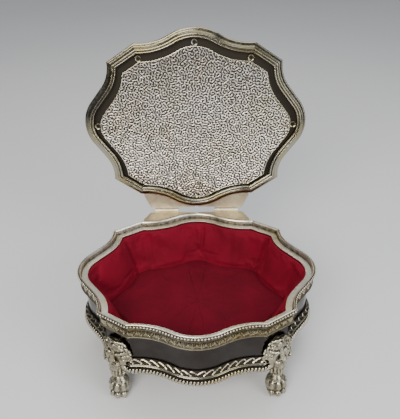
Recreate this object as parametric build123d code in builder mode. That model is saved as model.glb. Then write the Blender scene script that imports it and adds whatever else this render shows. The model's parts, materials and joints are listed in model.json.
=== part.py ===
"""A footed trinket box in cast and plated metal, with a hinged lid and a fabric lining.

The box stands on four cast legs, each a lion mask over a paw. Its plan is a cartouche:
four bulging lobes (front, back, left and right) joined by four short straight corners.
Every ring of the body and of the lid follows that plan, grown or shrunk by a set amount.

Frame: millimetres, +Z up, +X to the right, -Y to the front. The lid stands open, leaning on
its hinge stops, and the origin lies on the table under the middle of the open box. Each piece
is drawn about the centre of the four feet, and finish() moves it to that origin.
"""

import os
from math import atan2, cos, degrees, hypot, pi, radians, sin, sqrt, tan

from build123d import *

# ---- driving dimensions -------------------------------------------------------------------
HALF_WIDTH = 89.0  # plan centre to the side lobe's crown
HALF_DEPTH = 73.2  # plan centre to the front lobe's crown
LID_OPEN_ANGLE = 100.0  # from closed to the hinge stop, in degrees
FEET_CENTRE_Y = -19.55  # the feet's centre, in front of the origin because of the open lid

# A lobe's half outline is a crown arc, a straight flank and a hollow arc that ends at a cusp.
FRONT_REACH, FRONT_RISE, FRONT_SLOPE, FRONT_CROWN_R = 43.0, 11.6, 30.0, 38.0
SIDE_REACH, SIDE_RISE, SIDE_SLOPE, SIDE_CROWN_R = 45.0, 20.7, 38.0, 27.0
FRONT_CUSP = (46.2, 62.15)
SIDE_CUSP = (67.9, 48.2)

# Heights of the body's rings, from the foot of the lowest beads to the mating plane.
BEADS_Z, BASE_Z, SCROLL_Z, FRIEZE_Z, LEAF_Z, LEDGE_Z, COVE_Z, RIM_Z = (
    26.0,
    31.2,
    35.0,
    38.4,
    60.9,
    67.5,
    71.0,
    73.0,
)
GAP = 0.03  # air between pieces that are soldered or laid against each other
SEAT = 0.05  # air between the closed lid and the rim, and at the open lid's stop
WALL = 1.4  # sheet thickness of the body's wall and floor
FRIEZE_GROW = -5.0  # the plain band's outer face
LINING_GROW = FRIEZE_GROW - WALL - 0.1
LEDGE_TOP, LEDGE_INNER = 68.8, -7.5  # the shelf inside the rim, which takes the lid's ring
BEAD_STRIP = 1.5  # height of a small bead strip
BEADS_GROW = -0.2  # the lowest beads' outer face, behind which the legs' backs are cut
FLOOR_Z = 29.8  # underside of the base plate

BOARD_Z, BOARD_THICK = 33.2, 1.0  # the card under the padded floor
PAD_THICK = 3.2
LINING_SLOPE = -20.0  # where the padded wall meets the floor

PAW_R, PAW_Z, PAW_OUT = 7.8, 7.2, 1.3  # paw radius, height and distance out from the corner
NECK_OUT = -2.2  # the ankle stands behind the paw
LUG_OUT, LUG_HALF, LUG_DEPTH = -10.5, 5.5, 3.2  # the leg's foot plate, under the base plate
SCREW_R, SCREW_HEAD_R, NUT_R, NUT_THICK = 1.5, 2.8, 3.0, 1.9

RING_DROP, RING_INNER = 3.4, -7.2  # the lid's locating ring, which drops inside the rim
FRAME_TOP, WEB_Z, WEB_INNER = 3.2, 1.6, -20.0  # the lid frame's top and its inner flange
PANEL_GROW, PANEL_SHIFT, PANEL_THICK, PANEL_NARROW = -10.4, 3.0, 0.8, 0.985
COVER_THICK = 1.2
EYELETS = ((0, -62.4), (0, 63.2), (79.0, 2.6), (43.8, -50.4), (43.0, 51.0))
EYELET_FLANGE_R, EYELET_R, EYELET_BORE_R, FLANGE_THICK = 2.6, 1.5, 1.0, 0.6

HINGE_Y = 77.0  # hinge axis, behind the back lobe, at the mating plane
KNUCKLE_R, PIN_R = 2.2, 1.0
KNUCKLE_X = (15.5, 20.5, 30.5, 35.5)  # ends of the outer, middle and outer knuckles
KNUCKLE_GAP, FIXED_FIT, RUNNING_FIT = 0.15, 0.02, 0.05
LEAF_THICK, LEAF_DROP, LEAF_RELIEF = 1.6, 0.6, 0.35
LEAF_NEAR, LEAF_FAR, LEAF_TAIL = 1.5, 44.5, 38.0  # the leaf's ends at the rim and at the pin

# ---- the plan -----------------------------------------------------------------------------


def hollow_radius(reach, rise, slope, crown_r):
    """Radius of a lobe's hollow arc, so that crown, flank and hollow meet in tangents."""
    angle = radians(slope)
    total = (reach - rise / tan(angle)) / (sin(angle) - (1 - cos(angle)) / tan(angle))
    return total - crown_r


FRONT_HOLLOW_R = hollow_radius(FRONT_REACH, FRONT_RISE, FRONT_SLOPE, FRONT_CROWN_R)
SIDE_HOLLOW_R = hollow_radius(SIDE_REACH, SIDE_RISE, SIDE_SLOPE, SIDE_CROWN_R)
FRONT_HOLLOW = (FRONT_REACH, HALF_DEPTH - FRONT_RISE + FRONT_HOLLOW_R)
SIDE_HOLLOW = (HALF_WIDTH - SIDE_RISE + SIDE_HOLLOW_R, SIDE_REACH)

CORNER_LENGTH = hypot(SIDE_CUSP[0] - FRONT_CUSP[0], SIDE_CUSP[1] - FRONT_CUSP[1])
CORNER_ALONG = (
    (SIDE_CUSP[0] - FRONT_CUSP[0]) / CORNER_LENGTH,
    (SIDE_CUSP[1] - FRONT_CUSP[1]) / CORNER_LENGTH,
)
CORNER_OUT = (-CORNER_ALONG[1], CORNER_ALONG[0])  # outward normal of the straight corner
CORNER_DISTANCE = CORNER_OUT[0] * FRONT_CUSP[0] + CORNER_OUT[1] * FRONT_CUSP[1]
CORNER_MIDDLE = ((FRONT_CUSP[0] + SIDE_CUSP[0]) / 2, (FRONT_CUSP[1] + SIDE_CUSP[1]) / 2)
CORNER_ANGLE = degrees(atan2(CORNER_OUT[1], CORNER_OUT[0]))


def cusp(centre, radius, grow, side):
    """Where a hollow arc meets the straight corner, both moved outwards by grow."""
    away = CORNER_OUT[0] * centre[0] + CORNER_OUT[1] * centre[1] - CORNER_DISTANCE - grow
    along = side * sqrt((radius - grow) ** 2 - away**2)
    return (
        centre[0] - CORNER_OUT[0] * away + CORNER_ALONG[0] * along,
        centre[1] - CORNER_OUT[1] * away + CORNER_ALONG[1] * along,
    )


def on_circle(centre, radius, angle):
    return (centre[0] + radius * cos(radians(angle)), centre[1] + radius * sin(radians(angle)))


def bearing(centre, point):
    return degrees(atan2(point[1] - centre[1], point[0] - centre[0])) % 360


def plan(grow, plane=Plane.XY, scale_by=1.0):
    """A face on plane with the box's outline, moved outwards by grow, then scaled."""
    side_crown = (HALF_WIDTH - SIDE_CROWN_R, 0)
    front_crown = (0, HALF_DEPTH - FRONT_CROWN_R)
    side_cusp = cusp(SIDE_HOLLOW, SIDE_HOLLOW_R, grow, -1)
    front_cusp = cusp(FRONT_HOLLOW, FRONT_HOLLOW_R, grow, 1)
    side_start, side_end = 180 + SIDE_SLOPE, bearing(SIDE_HOLLOW, side_cusp)
    front_start, front_end = bearing(FRONT_HOLLOW, front_cusp), 270 - FRONT_SLOPE
    with BuildSketch(plane, mode=Mode.PRIVATE) as sketch:
        with BuildLine():
            CenterArc(side_crown, SIDE_CROWN_R + grow, 0, SIDE_SLOPE)
            Line(
                on_circle(side_crown, SIDE_CROWN_R + grow, SIDE_SLOPE),
                on_circle(SIDE_HOLLOW, SIDE_HOLLOW_R - grow, side_start),
            )
            CenterArc(SIDE_HOLLOW, SIDE_HOLLOW_R - grow, side_start, side_end - side_start)
            Line(side_cusp, front_cusp)
            CenterArc(FRONT_HOLLOW, FRONT_HOLLOW_R - grow, front_start, front_end - front_start)
            Line(
                on_circle(FRONT_HOLLOW, FRONT_HOLLOW_R - grow, front_end),
                on_circle(front_crown, FRONT_CROWN_R + grow, 90 - FRONT_SLOPE),
            )
            CenterArc(front_crown, FRONT_CROWN_R + grow, 90 - FRONT_SLOPE, FRONT_SLOPE)
            mirror(about=Plane.YZ)
            mirror(about=Plane.XZ)
        make_face()
        if scale_by != 1.0:
            scale(by=scale_by)
    return sketch.sketch


def stack(levels, base=Plane.XY, mode=Mode.ADD):
    """A ruled solid through the plan, at each level's growth, height and, if given, scale."""
    faces = [plan(level[0], base.offset(level[1]), *level[2:]) for level in levels]
    loft(sections=[f.face() for f in faces], ruled=True, mode=mode)


def finish(builder, label):
    """Move a drawn piece to the origin's frame, label it and write it."""
    placed = builder.part.moved(Location((0, FEET_CENTRE_Y, 0)))
    placed.label = label
    export_step(placed, f"parts/{label}.step")


# ---- the body's rings ---------------------------------------------------------------------
os.makedirs("parts", exist_ok=True)

with BuildPart() as rim_moulding:
    stack([(-3.0, LEDGE_Z + GAP), (-3.0, LEDGE_Z + 1.2), (-1.3, COVE_Z - 0.6), (-0.6, COVE_Z)])
    stack([(-1.5, COVE_Z), (-1.5, RIM_Z - 0.4), (-1.8, RIM_Z)])
    stack([(-3.5, LEDGE_TOP), (-2.05, RIM_Z + 0.1)], mode=Mode.SUBTRACT)
    stack([(LEDGE_INNER, LEDGE_Z - 0.1), (LEDGE_INNER, RIM_Z)], mode=Mode.SUBTRACT)
finish(rim_moulding, "rim_moulding")

with BuildPart() as upper_bead_row:
    strip = [COVE_Z + 0.05, COVE_Z + BEAD_STRIP - GAP]
    stack([(0.0, z) for z in strip])
    stack([(-1.5 + GAP, z) for z in (strip[0] - 0.1, strip[1] + 0.1)], mode=Mode.SUBTRACT)
finish(upper_bead_row, "upper_bead_row")

with BuildPart() as upper_leaf_border:
    stack([(-1.6, LEAF_Z), (-1.4, LEAF_Z + 0.5), (-1.9, LEAF_Z + 1.1), (-2.1, LEDGE_Z)])
    stack([(FRIEZE_GROW + GAP, LEAF_Z - 0.1), (FRIEZE_GROW + GAP, LEDGE_Z + 0.1)], mode=Mode.SUBTRACT)
finish(upper_leaf_border, "upper_leaf_border")

with BuildPart() as body_frieze:
    stack([(FRIEZE_GROW, FLOOR_Z + WALL + GAP), (FRIEZE_GROW, LEDGE_Z)])
    stack([(FRIEZE_GROW - WALL, FLOOR_Z), (FRIEZE_GROW - WALL, LEDGE_Z + 0.1)], mode=Mode.SUBTRACT)
finish(body_frieze, "body_frieze")

with BuildPart() as lower_scroll_border:
    stack([(-1.7, SCROLL_Z), (-2.2, SCROLL_Z + 0.6), (-4.0, FRIEZE_Z - 0.5), (-4.3, FRIEZE_Z)])
    stack([(FRIEZE_GROW + GAP, SCROLL_Z - 0.1), (FRIEZE_GROW + GAP, FRIEZE_Z + 0.1)], mode=Mode.SUBTRACT)
finish(lower_scroll_border, "lower_scroll_border")

with BuildPart() as base_moulding:
    stack([(-1.9, BASE_Z), (-2.4, BASE_Z + 1.0), (-1.5, BASE_Z + 2.2), (-1.5, SCROLL_Z - GAP)])
    stack([(FRIEZE_GROW + GAP, BASE_Z - 0.1), (FRIEZE_GROW + GAP, SCROLL_Z + 0.1)], mode=Mode.SUBTRACT)
finish(base_moulding, "base_moulding")

with BuildPart() as base_bead_row:
    widest = [(BEADS_GROW, z) for z in (BEADS_Z + 1.4, BASE_Z - 1.4)]
    stack([(-1.2, BEADS_Z)] + widest + [(-1.4, BASE_Z - GAP)])
    stack([(FRIEZE_GROW + 0.1, BEADS_Z - 0.1), (FRIEZE_GROW + 0.1, BASE_Z + 0.1)], mode=Mode.SUBTRACT)
finish(base_bead_row, "base_bead_row")


# ---- the corners, their legs and fasteners -------------------------------------------------
CORNERS = {
    "front_left": (-1, -1),
    "front_right": (1, -1),
    "rear_left": (-1, 1),
    "rear_right": (1, 1),
}


def corner_plane(signs, height=0.0):
    """A level plane at a corner: x runs along the corner, y points out of the box."""
    out = (signs[0] * CORNER_OUT[0], signs[1] * CORNER_OUT[1])
    origin = (signs[0] * CORNER_MIDDLE[0], signs[1] * CORNER_MIDDLE[1], height)
    return Plane(origin=origin, x_dir=(out[1], -out[0], 0), z_dir=(0, 0, 1))


def corner_disc(signs, radius, bottom, top, mode=Mode.ADD):
    """A short upright cylinder on a leg's screw axis."""
    with BuildSketch(corner_plane(signs, bottom)) as disc:
        with Locations((0, LUG_OUT)):
            Circle(radius)
    extrude(disc.sketch, amount=top - bottom, mode=mode)


with BuildPart() as base_plate:
    stack([(FRIEZE_GROW, FLOOR_Z), (FRIEZE_GROW, FLOOR_Z + WALL)])
    for signs in CORNERS.values():
        corner_disc(signs, SCREW_R + 0.1, FLOOR_Z - 0.1, FLOOR_Z + WALL + 0.1, Mode.SUBTRACT)
finish(base_plate, "base_plate")

# A mask section: height, half width, half depth and distance out from the corner.
MASK = (
    (24.0, 5.2, 4.6, 0.4),
    (30.0, 9.4, 5.8, -0.9),
    (37.0, 12.2, 6.6, -2.0),
    (45.0, 12.4, 6.2, -2.8),
    (50.5, 9.8, 5.0, -3.4),
    (54.0, 5.0, 3.0, -4.4),
)
# An ankle section: height, distance out from the corner and radius.
ANKLE = ((PAW_Z + 4.2, 0.4, 4.8), (18.5, NECK_OUT, 3.4), (BEADS_Z - GAP, NECK_OUT, 4.4))
# A toe: distance sideways and out from the corner, height and radius.
TOES = ((-4.9, 0.7, 4.2, 2.7), (-1.7, 2.7, 4.2, 3.0), (1.7, 2.7, 4.2, 3.0), (4.9, 0.7, 4.2, 2.7))


def make_leg(signs):
    """One cast leg: mask, neck, paw, and a foot plate that reaches in under the base plate."""
    with BuildPart() as leg:
        for height, half_width, half_depth, out in MASK:
            with BuildSketch(corner_plane(signs, height)):
                with Locations((0, out)):
                    Ellipse(half_width, half_depth)
        loft()
        back = corner_plane(signs, BEADS_Z - GAP)
        with BuildSketch(back):
            with Locations((0, BEADS_GROW + 0.1)):
                Rectangle(60, 40, align=(Align.CENTER, Align.MAX))
        extrude(amount=FRIEZE_Z + 0.1 - BEADS_Z + GAP, mode=Mode.SUBTRACT)
        with BuildSketch(corner_plane(signs, FRIEZE_Z)):
            with Locations((0, FRIEZE_GROW + 0.1)):
                Rectangle(60, 40, align=(Align.CENTER, Align.MAX))
        extrude(amount=LEAF_Z - FRIEZE_Z, mode=Mode.SUBTRACT)
        for height, out, radius in ANKLE:
            with BuildSketch(corner_plane(signs, height)):
                with Locations((0, out)):
                    Circle(radius)
        loft()
        with BuildSketch(corner_plane(signs, BEADS_Z - LUG_DEPTH)):
            with Locations((0, LUG_OUT - LUG_HALF)):
                Rectangle(2 * LUG_HALF, NECK_OUT - LUG_OUT + LUG_HALF, align=(Align.CENTER, Align.MIN))
        extrude(amount=LUG_DEPTH - GAP)
        with BuildSketch(corner_plane(signs, BEADS_Z - 1)):
            with Locations((0, LUG_OUT)):
                Rectangle(2 * LUG_HALF, 2 * LUG_HALF)
        extrude(amount=FLOOR_Z - GAP - BEADS_Z + 1)
        paw = corner_plane(signs, PAW_Z)
        with Locations(paw.location):
            with Locations((0, PAW_OUT, 0)):
                Sphere(PAW_R)
            for sideways, out, height, radius in TOES:
                with Locations((sideways, out, height - PAW_Z)):
                    Sphere(radius)
        with Locations((0, 0, 0)):
            Box(400, 400, 20, align=(Align.CENTER, Align.CENTER, Align.MAX), mode=Mode.SUBTRACT)
        corner_disc(signs, SCREW_R + 0.1, 0, FLOOR_Z + 1, Mode.SUBTRACT)
        corner_disc(signs, SCREW_HEAD_R + 0.1, 0, BEADS_Z - LUG_DEPTH + 1.5, Mode.SUBTRACT)
    return leg


for name, signs in CORNERS.items():
    finish(make_leg(signs), f"leg_{name}")

SCREW_SEAT_Z = BEADS_Z - LUG_DEPTH + 1.5
with BuildPart() as leg_screws:
    for signs in CORNERS.values():
        corner_disc(signs, SCREW_HEAD_R, SCREW_SEAT_Z - GAP - 1.3, SCREW_SEAT_Z - GAP)
        corner_disc(signs, SCREW_R, SCREW_SEAT_Z - 0.5, BOARD_Z - 0.1)
finish(leg_screws, "leg_screws")

with BuildPart() as leg_nuts:
    for signs in CORNERS.values():
        with BuildSketch(corner_plane(signs, FLOOR_Z + WALL + GAP)):
            with Locations((0, LUG_OUT)):
                RegularPolygon(NUT_R, 6)
                Circle(SCREW_R + GAP, mode=Mode.SUBTRACT)
        extrude(amount=NUT_THICK)
finish(leg_nuts, "leg_nuts")

# ---- the lining ----------------------------------------------------------------------------
with BuildPart() as lining_board:
    stack([(LINING_GROW, BOARD_Z), (LINING_GROW, BOARD_Z + BOARD_THICK)])
finish(lining_board, "lining_board")

PAD_Z = BOARD_Z + BOARD_THICK + GAP
with BuildPart() as lining_wall:
    stack([(LINING_GROW, PAD_Z), (LINING_GROW, LEDGE_Z - 0.1)])
    levels = [(LINING_SLOPE, PAD_Z - 0.1), (LINING_SLOPE, PAD_Z + PAD_THICK), (-8.6, LEDGE_Z)]
    stack(levels, mode=Mode.SUBTRACT)
finish(lining_wall, "lining_wall")

with BuildPart() as lining_floor_pad:
    grow = LINING_SLOPE - 0.1
    stack([(grow, PAD_Z), (grow, PAD_Z + PAD_THICK - 0.8), (grow - 1.2, PAD_Z + PAD_THICK)])
finish(lining_floor_pad, "lining_floor_pad")

# ---- the lid, drawn as closed on a plane that leans back with it ---------------------------
LEAN = radians(LID_OPEN_ANGLE)
LID = Plane(
    origin=(0, HINGE_Y - HINGE_Y * cos(LEAN), RIM_Z + HINGE_Y * sin(LEAN)),
    x_dir=(1, 0, 0),
    z_dir=(0, sin(LEAN), cos(LEAN)),
)


def eyelet_centres():
    """All the eyelets' places on the lid plane, left ones mirrored from the right ones."""
    mirrored = [(-x, y) for x, y in EYELETS if x]
    return list(EYELETS) + mirrored


def lid_discs(points, radius, bottom, top, mode=Mode.ADD):
    """Short cylinders that stand on the lid plane."""
    with BuildSketch(LID.offset(bottom)) as discs:
        with Locations(*points):
            Circle(radius)
    extrude(discs.sketch, amount=top - bottom, mode=mode)


with BuildPart() as lid_frame:
    stack([(-0.3, SEAT), (0.3, 0.9), (0.3, 2.2), (-0.5, FRAME_TOP)], LID)
    stack([(-3.9, -RING_DROP), (-3.3, -RING_DROP + 0.5), (-2.35, 0.0), (-2.35, 0.5)], LID)
    stack([(WEB_INNER, -5.0), (WEB_INNER, 5.0)], LID, Mode.SUBTRACT)
    stack([(RING_INNER, -5.0), (RING_INNER, WEB_Z)], LID, Mode.SUBTRACT)
    lid_discs(eyelet_centres(), EYELET_R + GAP, WEB_Z - 1, FRAME_TOP + 1, Mode.SUBTRACT)
finish(lid_frame, "lid_frame")

with BuildPart() as lid_inner_panel:
    shifted = LID.shift_origin(LID.from_local_coords((0, PANEL_SHIFT, 0)))
    stack(
        [
            (PANEL_GROW, WEB_Z - GAP - PANEL_THICK, (PANEL_NARROW, 1, 1)),
            (PANEL_GROW, WEB_Z - GAP, (PANEL_NARROW, 1, 1)),
        ],
        shifted,
    )
    lid_discs(eyelet_centres(), EYELET_R + GAP, 0, FRAME_TOP, Mode.SUBTRACT)
finish(lid_inner_panel, "lid_inner_panel")

with BuildPart() as lid_eyelets:
    flange = WEB_Z - PANEL_THICK - 2 * GAP
    lid_discs(eyelet_centres(), EYELET_FLANGE_R, flange - FLANGE_THICK, flange)
    lid_discs(eyelet_centres(), EYELET_R, flange, FRAME_TOP + GAP)
    lid_discs(eyelet_centres(), EYELET_R + 0.6, FRAME_TOP + GAP, FRAME_TOP + GAP + 0.4)
    lid_discs(eyelet_centres(), EYELET_BORE_R, -1, FRAME_TOP + 1, Mode.SUBTRACT)
finish(lid_eyelets, "lid_eyelets")

# A cover level: growth, height above the mating plane and, on the dome, scale.
COVER_EDGE = ((-1.5, FRAME_TOP + GAP), (-1.6, 5.0), (-3.0, 6.0), (-4.8, 6.4), (-7.0, 9.4), (-7.6, 10.2))
DOME = ((10.2, 1.0), (12.8, 0.82), (14.6, 0.6), (15.5, 0.36), (15.8, 0.16))
DOME_GROW = COVER_EDGE[-1][0]
with BuildPart() as lid_cover:
    stack(COVER_EDGE, LID)
    stack([(DOME_GROW, z, size) for z, size in DOME], LID)
    inner = [(grow - COVER_THICK, z - COVER_THICK * 0.7) for grow, z in COVER_EDGE[1:]]
    stack([(inner[0][0], 0.0)] + inner, LID, Mode.SUBTRACT)
    inner_dome = [(DOME_GROW - COVER_THICK, z - COVER_THICK * 0.7, size) for z, size in DOME]
    stack(inner_dome, LID, Mode.SUBTRACT)
finish(lid_cover, "lid_cover")

with BuildPart() as lid_bead_row:
    stack([(-0.2, z) for z in (FRAME_TOP + GAP, FRAME_TOP + BEAD_STRIP)], LID)
    stack([(-1.5 + GAP, z) for z in (FRAME_TOP - 0.1, FRAME_TOP + BEAD_STRIP + 0.1)], LID, Mode.SUBTRACT)
finish(lid_bead_row, "lid_bead_row")

# ---- the hinges ----------------------------------------------------------------------------
AXIS = Plane(origin=(0, HINGE_Y, RIM_Z), x_dir=(0, 1, 0), z_dir=(1, 0, 0))
LID_AXIS = Plane(origin=AXIS.origin, x_dir=LID.y_dir, z_dir=(1, 0, 0))


def knuckle(start, end, radius, mode=Mode.ADD):
    """A cylinder on the hinge axis between start and end, or a bore when subtracted."""
    with BuildSketch(AXIS.offset(min(start, end))) as disc:
        Circle(radius)
    extrude(disc.sketch, amount=abs(end - start), mode=mode)


def leaf_plate(side, base, bottom, rim_grow):
    """A leaf from the rim's outline back to the hinge axis, wider at the rim."""
    with BuildSketch(base.offset(bottom)) as outline:
        with BuildLine():
            Polyline(
                (side * LEAF_NEAR, HINGE_Y),
                (side * LEAF_TAIL, HINGE_Y),
                (side * LEAF_FAR, HINGE_Y - 13.0),
                (side * LEAF_FAR, HINGE_Y - 25.0),
                (side * LEAF_NEAR, HINGE_Y - 25.0),
                close=True,
            )
        make_face()
    extrude(outline.sketch, amount=LEAF_THICK)
    stack([(rim_grow, bottom - 0.1), (rim_grow, bottom + LEAF_THICK + 0.1)], base, Mode.SUBTRACT)


def relieve(side, start, end, plane):
    """Cut the leaf back where the other leaf's knuckle turns, between start and end."""
    reach = KNUCKLE_R + LEAF_RELIEF
    with BuildSketch(plane.offset(min(side * start, side * end))) as notch:
        Rectangle(2 * reach, 2 * reach)
    extrude(notch.sketch, amount=end - start, mode=Mode.SUBTRACT)


def make_body_leaf(side):
    first, second, third, last = KNUCKLE_X
    with BuildPart() as leaf:
        leaf_plate(side, Plane.XY, RIM_Z - LEAF_DROP - LEAF_THICK, GAP)
        relieve(side, second - KNUCKLE_GAP, third + KNUCKLE_GAP, AXIS)
        relieve(side, LEAF_NEAR - 5, first - KNUCKLE_GAP, AXIS)
        relieve(side, last + KNUCKLE_GAP, LEAF_TAIL + 5, AXIS)
        for start, end in ((first, second), (third, last)):
            knuckle(side * start, side * end, KNUCKLE_R)
        knuckle(side * (first - 1), side * (last + 1), PIN_R + FIXED_FIT, Mode.SUBTRACT)
    return leaf


def make_lid_leaf(side):
    first, second, third, last = KNUCKLE_X
    start, end = second + KNUCKLE_GAP, third - KNUCKLE_GAP
    with BuildPart() as leaf:
        leaf_plate(side, LID, LEAF_DROP, 0.3 + GAP)
        relieve(side, LEAF_NEAR - 5, start, LID_AXIS)
        relieve(side, end, LEAF_TAIL + 5, LID_AXIS)
        knuckle(side * start, side * end, KNUCKLE_R)
        heel = KNUCKLE_R + LEAF_RELIEF - SEAT
        with BuildSketch(AXIS.offset(min(side * start, side * end))):
            with Locations((-heel, -LEAF_DROP)):
                Rectangle(heel, LEAF_THICK, align=(Align.MIN, Align.MAX))
        extrude(amount=end - start)
        knuckle(side * start, side * end, PIN_R + RUNNING_FIT, Mode.SUBTRACT)
    return leaf


def make_pin(side):
    with BuildPart() as pin:
        knuckle(side * (KNUCKLE_X[0] - 0.3), side * (KNUCKLE_X[-1] + 0.3), PIN_R)
    return pin


for name, side in (("left", -1), ("right", 1)):
    finish(make_body_leaf(side), f"body_hinge_leaf_{name}")
    finish(make_lid_leaf(side), f"lid_hinge_leaf_{name}")
    finish(make_pin(side), f"hinge_pin_{name}")
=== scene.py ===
import json
from math import atan2, ceil, cos, degrees, exp, hypot, pi, radians, sin, sqrt, tan

import bpy
import numpy as np
from mathutils import Matrix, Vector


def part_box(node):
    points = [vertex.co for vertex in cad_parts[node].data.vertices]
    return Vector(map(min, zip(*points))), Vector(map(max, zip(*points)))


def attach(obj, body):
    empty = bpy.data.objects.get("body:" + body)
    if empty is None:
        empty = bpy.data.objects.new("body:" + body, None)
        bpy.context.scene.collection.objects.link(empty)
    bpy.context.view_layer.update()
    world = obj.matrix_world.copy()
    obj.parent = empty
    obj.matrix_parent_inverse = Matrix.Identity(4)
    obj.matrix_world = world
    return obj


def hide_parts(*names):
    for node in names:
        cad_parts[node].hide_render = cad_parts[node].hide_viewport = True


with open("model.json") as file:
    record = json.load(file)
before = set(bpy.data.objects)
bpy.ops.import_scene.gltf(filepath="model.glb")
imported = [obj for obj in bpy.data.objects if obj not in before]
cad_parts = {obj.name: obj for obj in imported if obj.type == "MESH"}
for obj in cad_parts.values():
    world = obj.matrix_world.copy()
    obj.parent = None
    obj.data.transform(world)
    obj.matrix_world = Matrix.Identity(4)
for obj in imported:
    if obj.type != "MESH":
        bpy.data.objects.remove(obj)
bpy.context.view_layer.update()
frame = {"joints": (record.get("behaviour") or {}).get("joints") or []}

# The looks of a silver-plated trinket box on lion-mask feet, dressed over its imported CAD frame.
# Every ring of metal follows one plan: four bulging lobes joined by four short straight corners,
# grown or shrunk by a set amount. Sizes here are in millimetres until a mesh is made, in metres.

MM = 0.001

# ---- sizes ---------------------------------------------------------------------------------
HALF_WIDTH, HALF_DEPTH = 89.0, 73.2  # plan centre to the lobes' crowns
FRONT_REACH, FRONT_RISE, FRONT_SLOPE, FRONT_CROWN_R = 43.0, 11.6, 30.0, 38.0
SIDE_REACH, SIDE_RISE, SIDE_SLOPE, SIDE_CROWN_R = 45.0, 20.7, 38.0, 27.0
FRONT_CUSP, SIDE_CUSP = (46.2, 62.15), (67.9, 48.2)


def low(node):
    """A CAD node's lowest z, in millimetres."""
    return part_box(node)[0][2] / MM


def high(node):
    """A CAD node's highest z, in millimetres."""
    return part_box(node)[1][2] / MM


RIM_Z, LEAF_Z, LEDGE_Z = high("rim_moulding"), low("upper_leaf_border"), high("upper_leaf_border")
BEADS_Z, BASE_Z, SCROLL_Z = low("base_bead_row"), low("base_moulding"), low("lower_scroll_border")
FRIEZE_Z, FRIEZE_FOOT = high("lower_scroll_border"), low("body_frieze")
FRIEZE_GROW = -5.0
WALL = 1.4
PAD_Z, PAD_TOP = low("lining_floor_pad"), high("lining_floor_pad")
PAW_OUT = -1.2

BODY_BOX = np.array(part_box("body_frieze")) / MM
CENTRE = np.array([0.0, BODY_BOX[:, 1].mean(), 0.0])  # the plan's centre, in front of the origin
HINGE = frame["joints"][0]
PIVOT = np.array(HINGE["pos_m"]) / MM - CENTRE
LID_ANGLE = radians(HINGE["range_deg"][1])  # from open, at rest, to closed
FRAME_TOP, WEB_Z, WEB_INNER = 3.2, 1.6, -20.0
PANEL_GROW, PANEL_SHIFT, PANEL_NARROW, PANEL_Z = -10.4, 3.0, 0.985, 1.57
EYELETS = ((0, -62.4), (0, 63.2), (79.0, 2.6), (43.8, -50.4), (43.0, 51.0))


# ---- the plan ------------------------------------------------------------------------------
def hollow_radius(reach, rise, slope, crown_r):
    """Radius of a lobe's hollow arc, so that crown, flank and hollow meet in tangents."""
    angle = radians(slope)
    return (reach - rise / tan(angle)) / (sin(angle) - (1 - cos(angle)) / tan(angle)) - crown_r


FRONT_HOLLOW_R = hollow_radius(FRONT_REACH, FRONT_RISE, FRONT_SLOPE, FRONT_CROWN_R)
SIDE_HOLLOW_R = hollow_radius(SIDE_REACH, SIDE_RISE, SIDE_SLOPE, SIDE_CROWN_R)
FRONT_HOLLOW = (FRONT_REACH, HALF_DEPTH - FRONT_RISE + FRONT_HOLLOW_R)
SIDE_HOLLOW = (HALF_WIDTH - SIDE_RISE + SIDE_HOLLOW_R, SIDE_REACH)
CORNER_LENGTH = hypot(SIDE_CUSP[0] - FRONT_CUSP[0], SIDE_CUSP[1] - FRONT_CUSP[1])
ALONG = np.array([SIDE_CUSP[0] - FRONT_CUSP[0], SIDE_CUSP[1] - FRONT_CUSP[1]]) / CORNER_LENGTH
OUT = np.array([-ALONG[1], ALONG[0]])  # outward normal of the rear right corner
CORNER_DISTANCE = OUT @ FRONT_CUSP
CORNER_MIDDLE = (np.array(FRONT_CUSP) + SIDE_CUSP) / 2


def cusp(centre, radius, grow, side):
    """Where a hollow arc meets the straight corner, both moved outwards by grow."""
    away = OUT @ centre - CORNER_DISTANCE - grow
    return np.array(centre) - OUT * away + ALONG * side * sqrt((radius - grow) ** 2 - away**2)


def bearing(centre, point):
    return degrees(atan2(point[1] - centre[1], point[0] - centre[0])) % 360


def arc(centre, radius, start, end, count):
    angle = np.radians(np.linspace(start, end, count + 1))
    return np.stack([centre[0] + radius * np.cos(angle), centre[1] + radius * np.sin(angle)], 1)


def straight(start, end, count):
    return np.linspace(start, end, count + 1)


def lobe_halves(grow, step):
    """The outline's first quarter in three runs: side lobe, straight corner, front lobe."""
    side_crown, front_crown = (HALF_WIDTH - SIDE_CROWN_R, 0), (0, HALF_DEPTH - FRONT_CROWN_R)
    side_cusp = cusp(SIDE_HOLLOW, SIDE_HOLLOW_R, grow, -1)
    front_cusp = cusp(FRONT_HOLLOW, FRONT_HOLLOW_R, grow, 1)

    def count(length):
        return max(2, ceil(length / step))

    def lobe(crown, crown_r, slope, first, hollow, hollow_r, start, corner):
        """Points from a lobe's crown to its cusp; first and start are the arcs' first angles."""
        turn = slope if first == 0 else -slope
        out = arc(crown, crown_r + grow, first, first + turn, count(crown_r * radians(slope)))
        end = bearing(hollow, corner)
        hollow_arc = arc(hollow, hollow_r - grow, start, end, count(hollow_r * radians(slope)))
        flank = straight(out[-1], hollow_arc[0], count(np.linalg.norm(out[-1] - hollow_arc[0])))
        return np.concatenate([out[:-1], flank[:-1], hollow_arc])

    side = lobe(
        side_crown, SIDE_CROWN_R, SIDE_SLOPE, 0, SIDE_HOLLOW, SIDE_HOLLOW_R, 180 + SIDE_SLOPE, side_cusp
    )
    front = lobe(
        front_crown, FRONT_CROWN_R, FRONT_SLOPE, 90,
        FRONT_HOLLOW, FRONT_HOLLOW_R, 270 - FRONT_SLOPE, front_cusp,
    )
    return side, straight(side_cusp, front_cusp, count(CORNER_LENGTH)), front[::-1]


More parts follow.
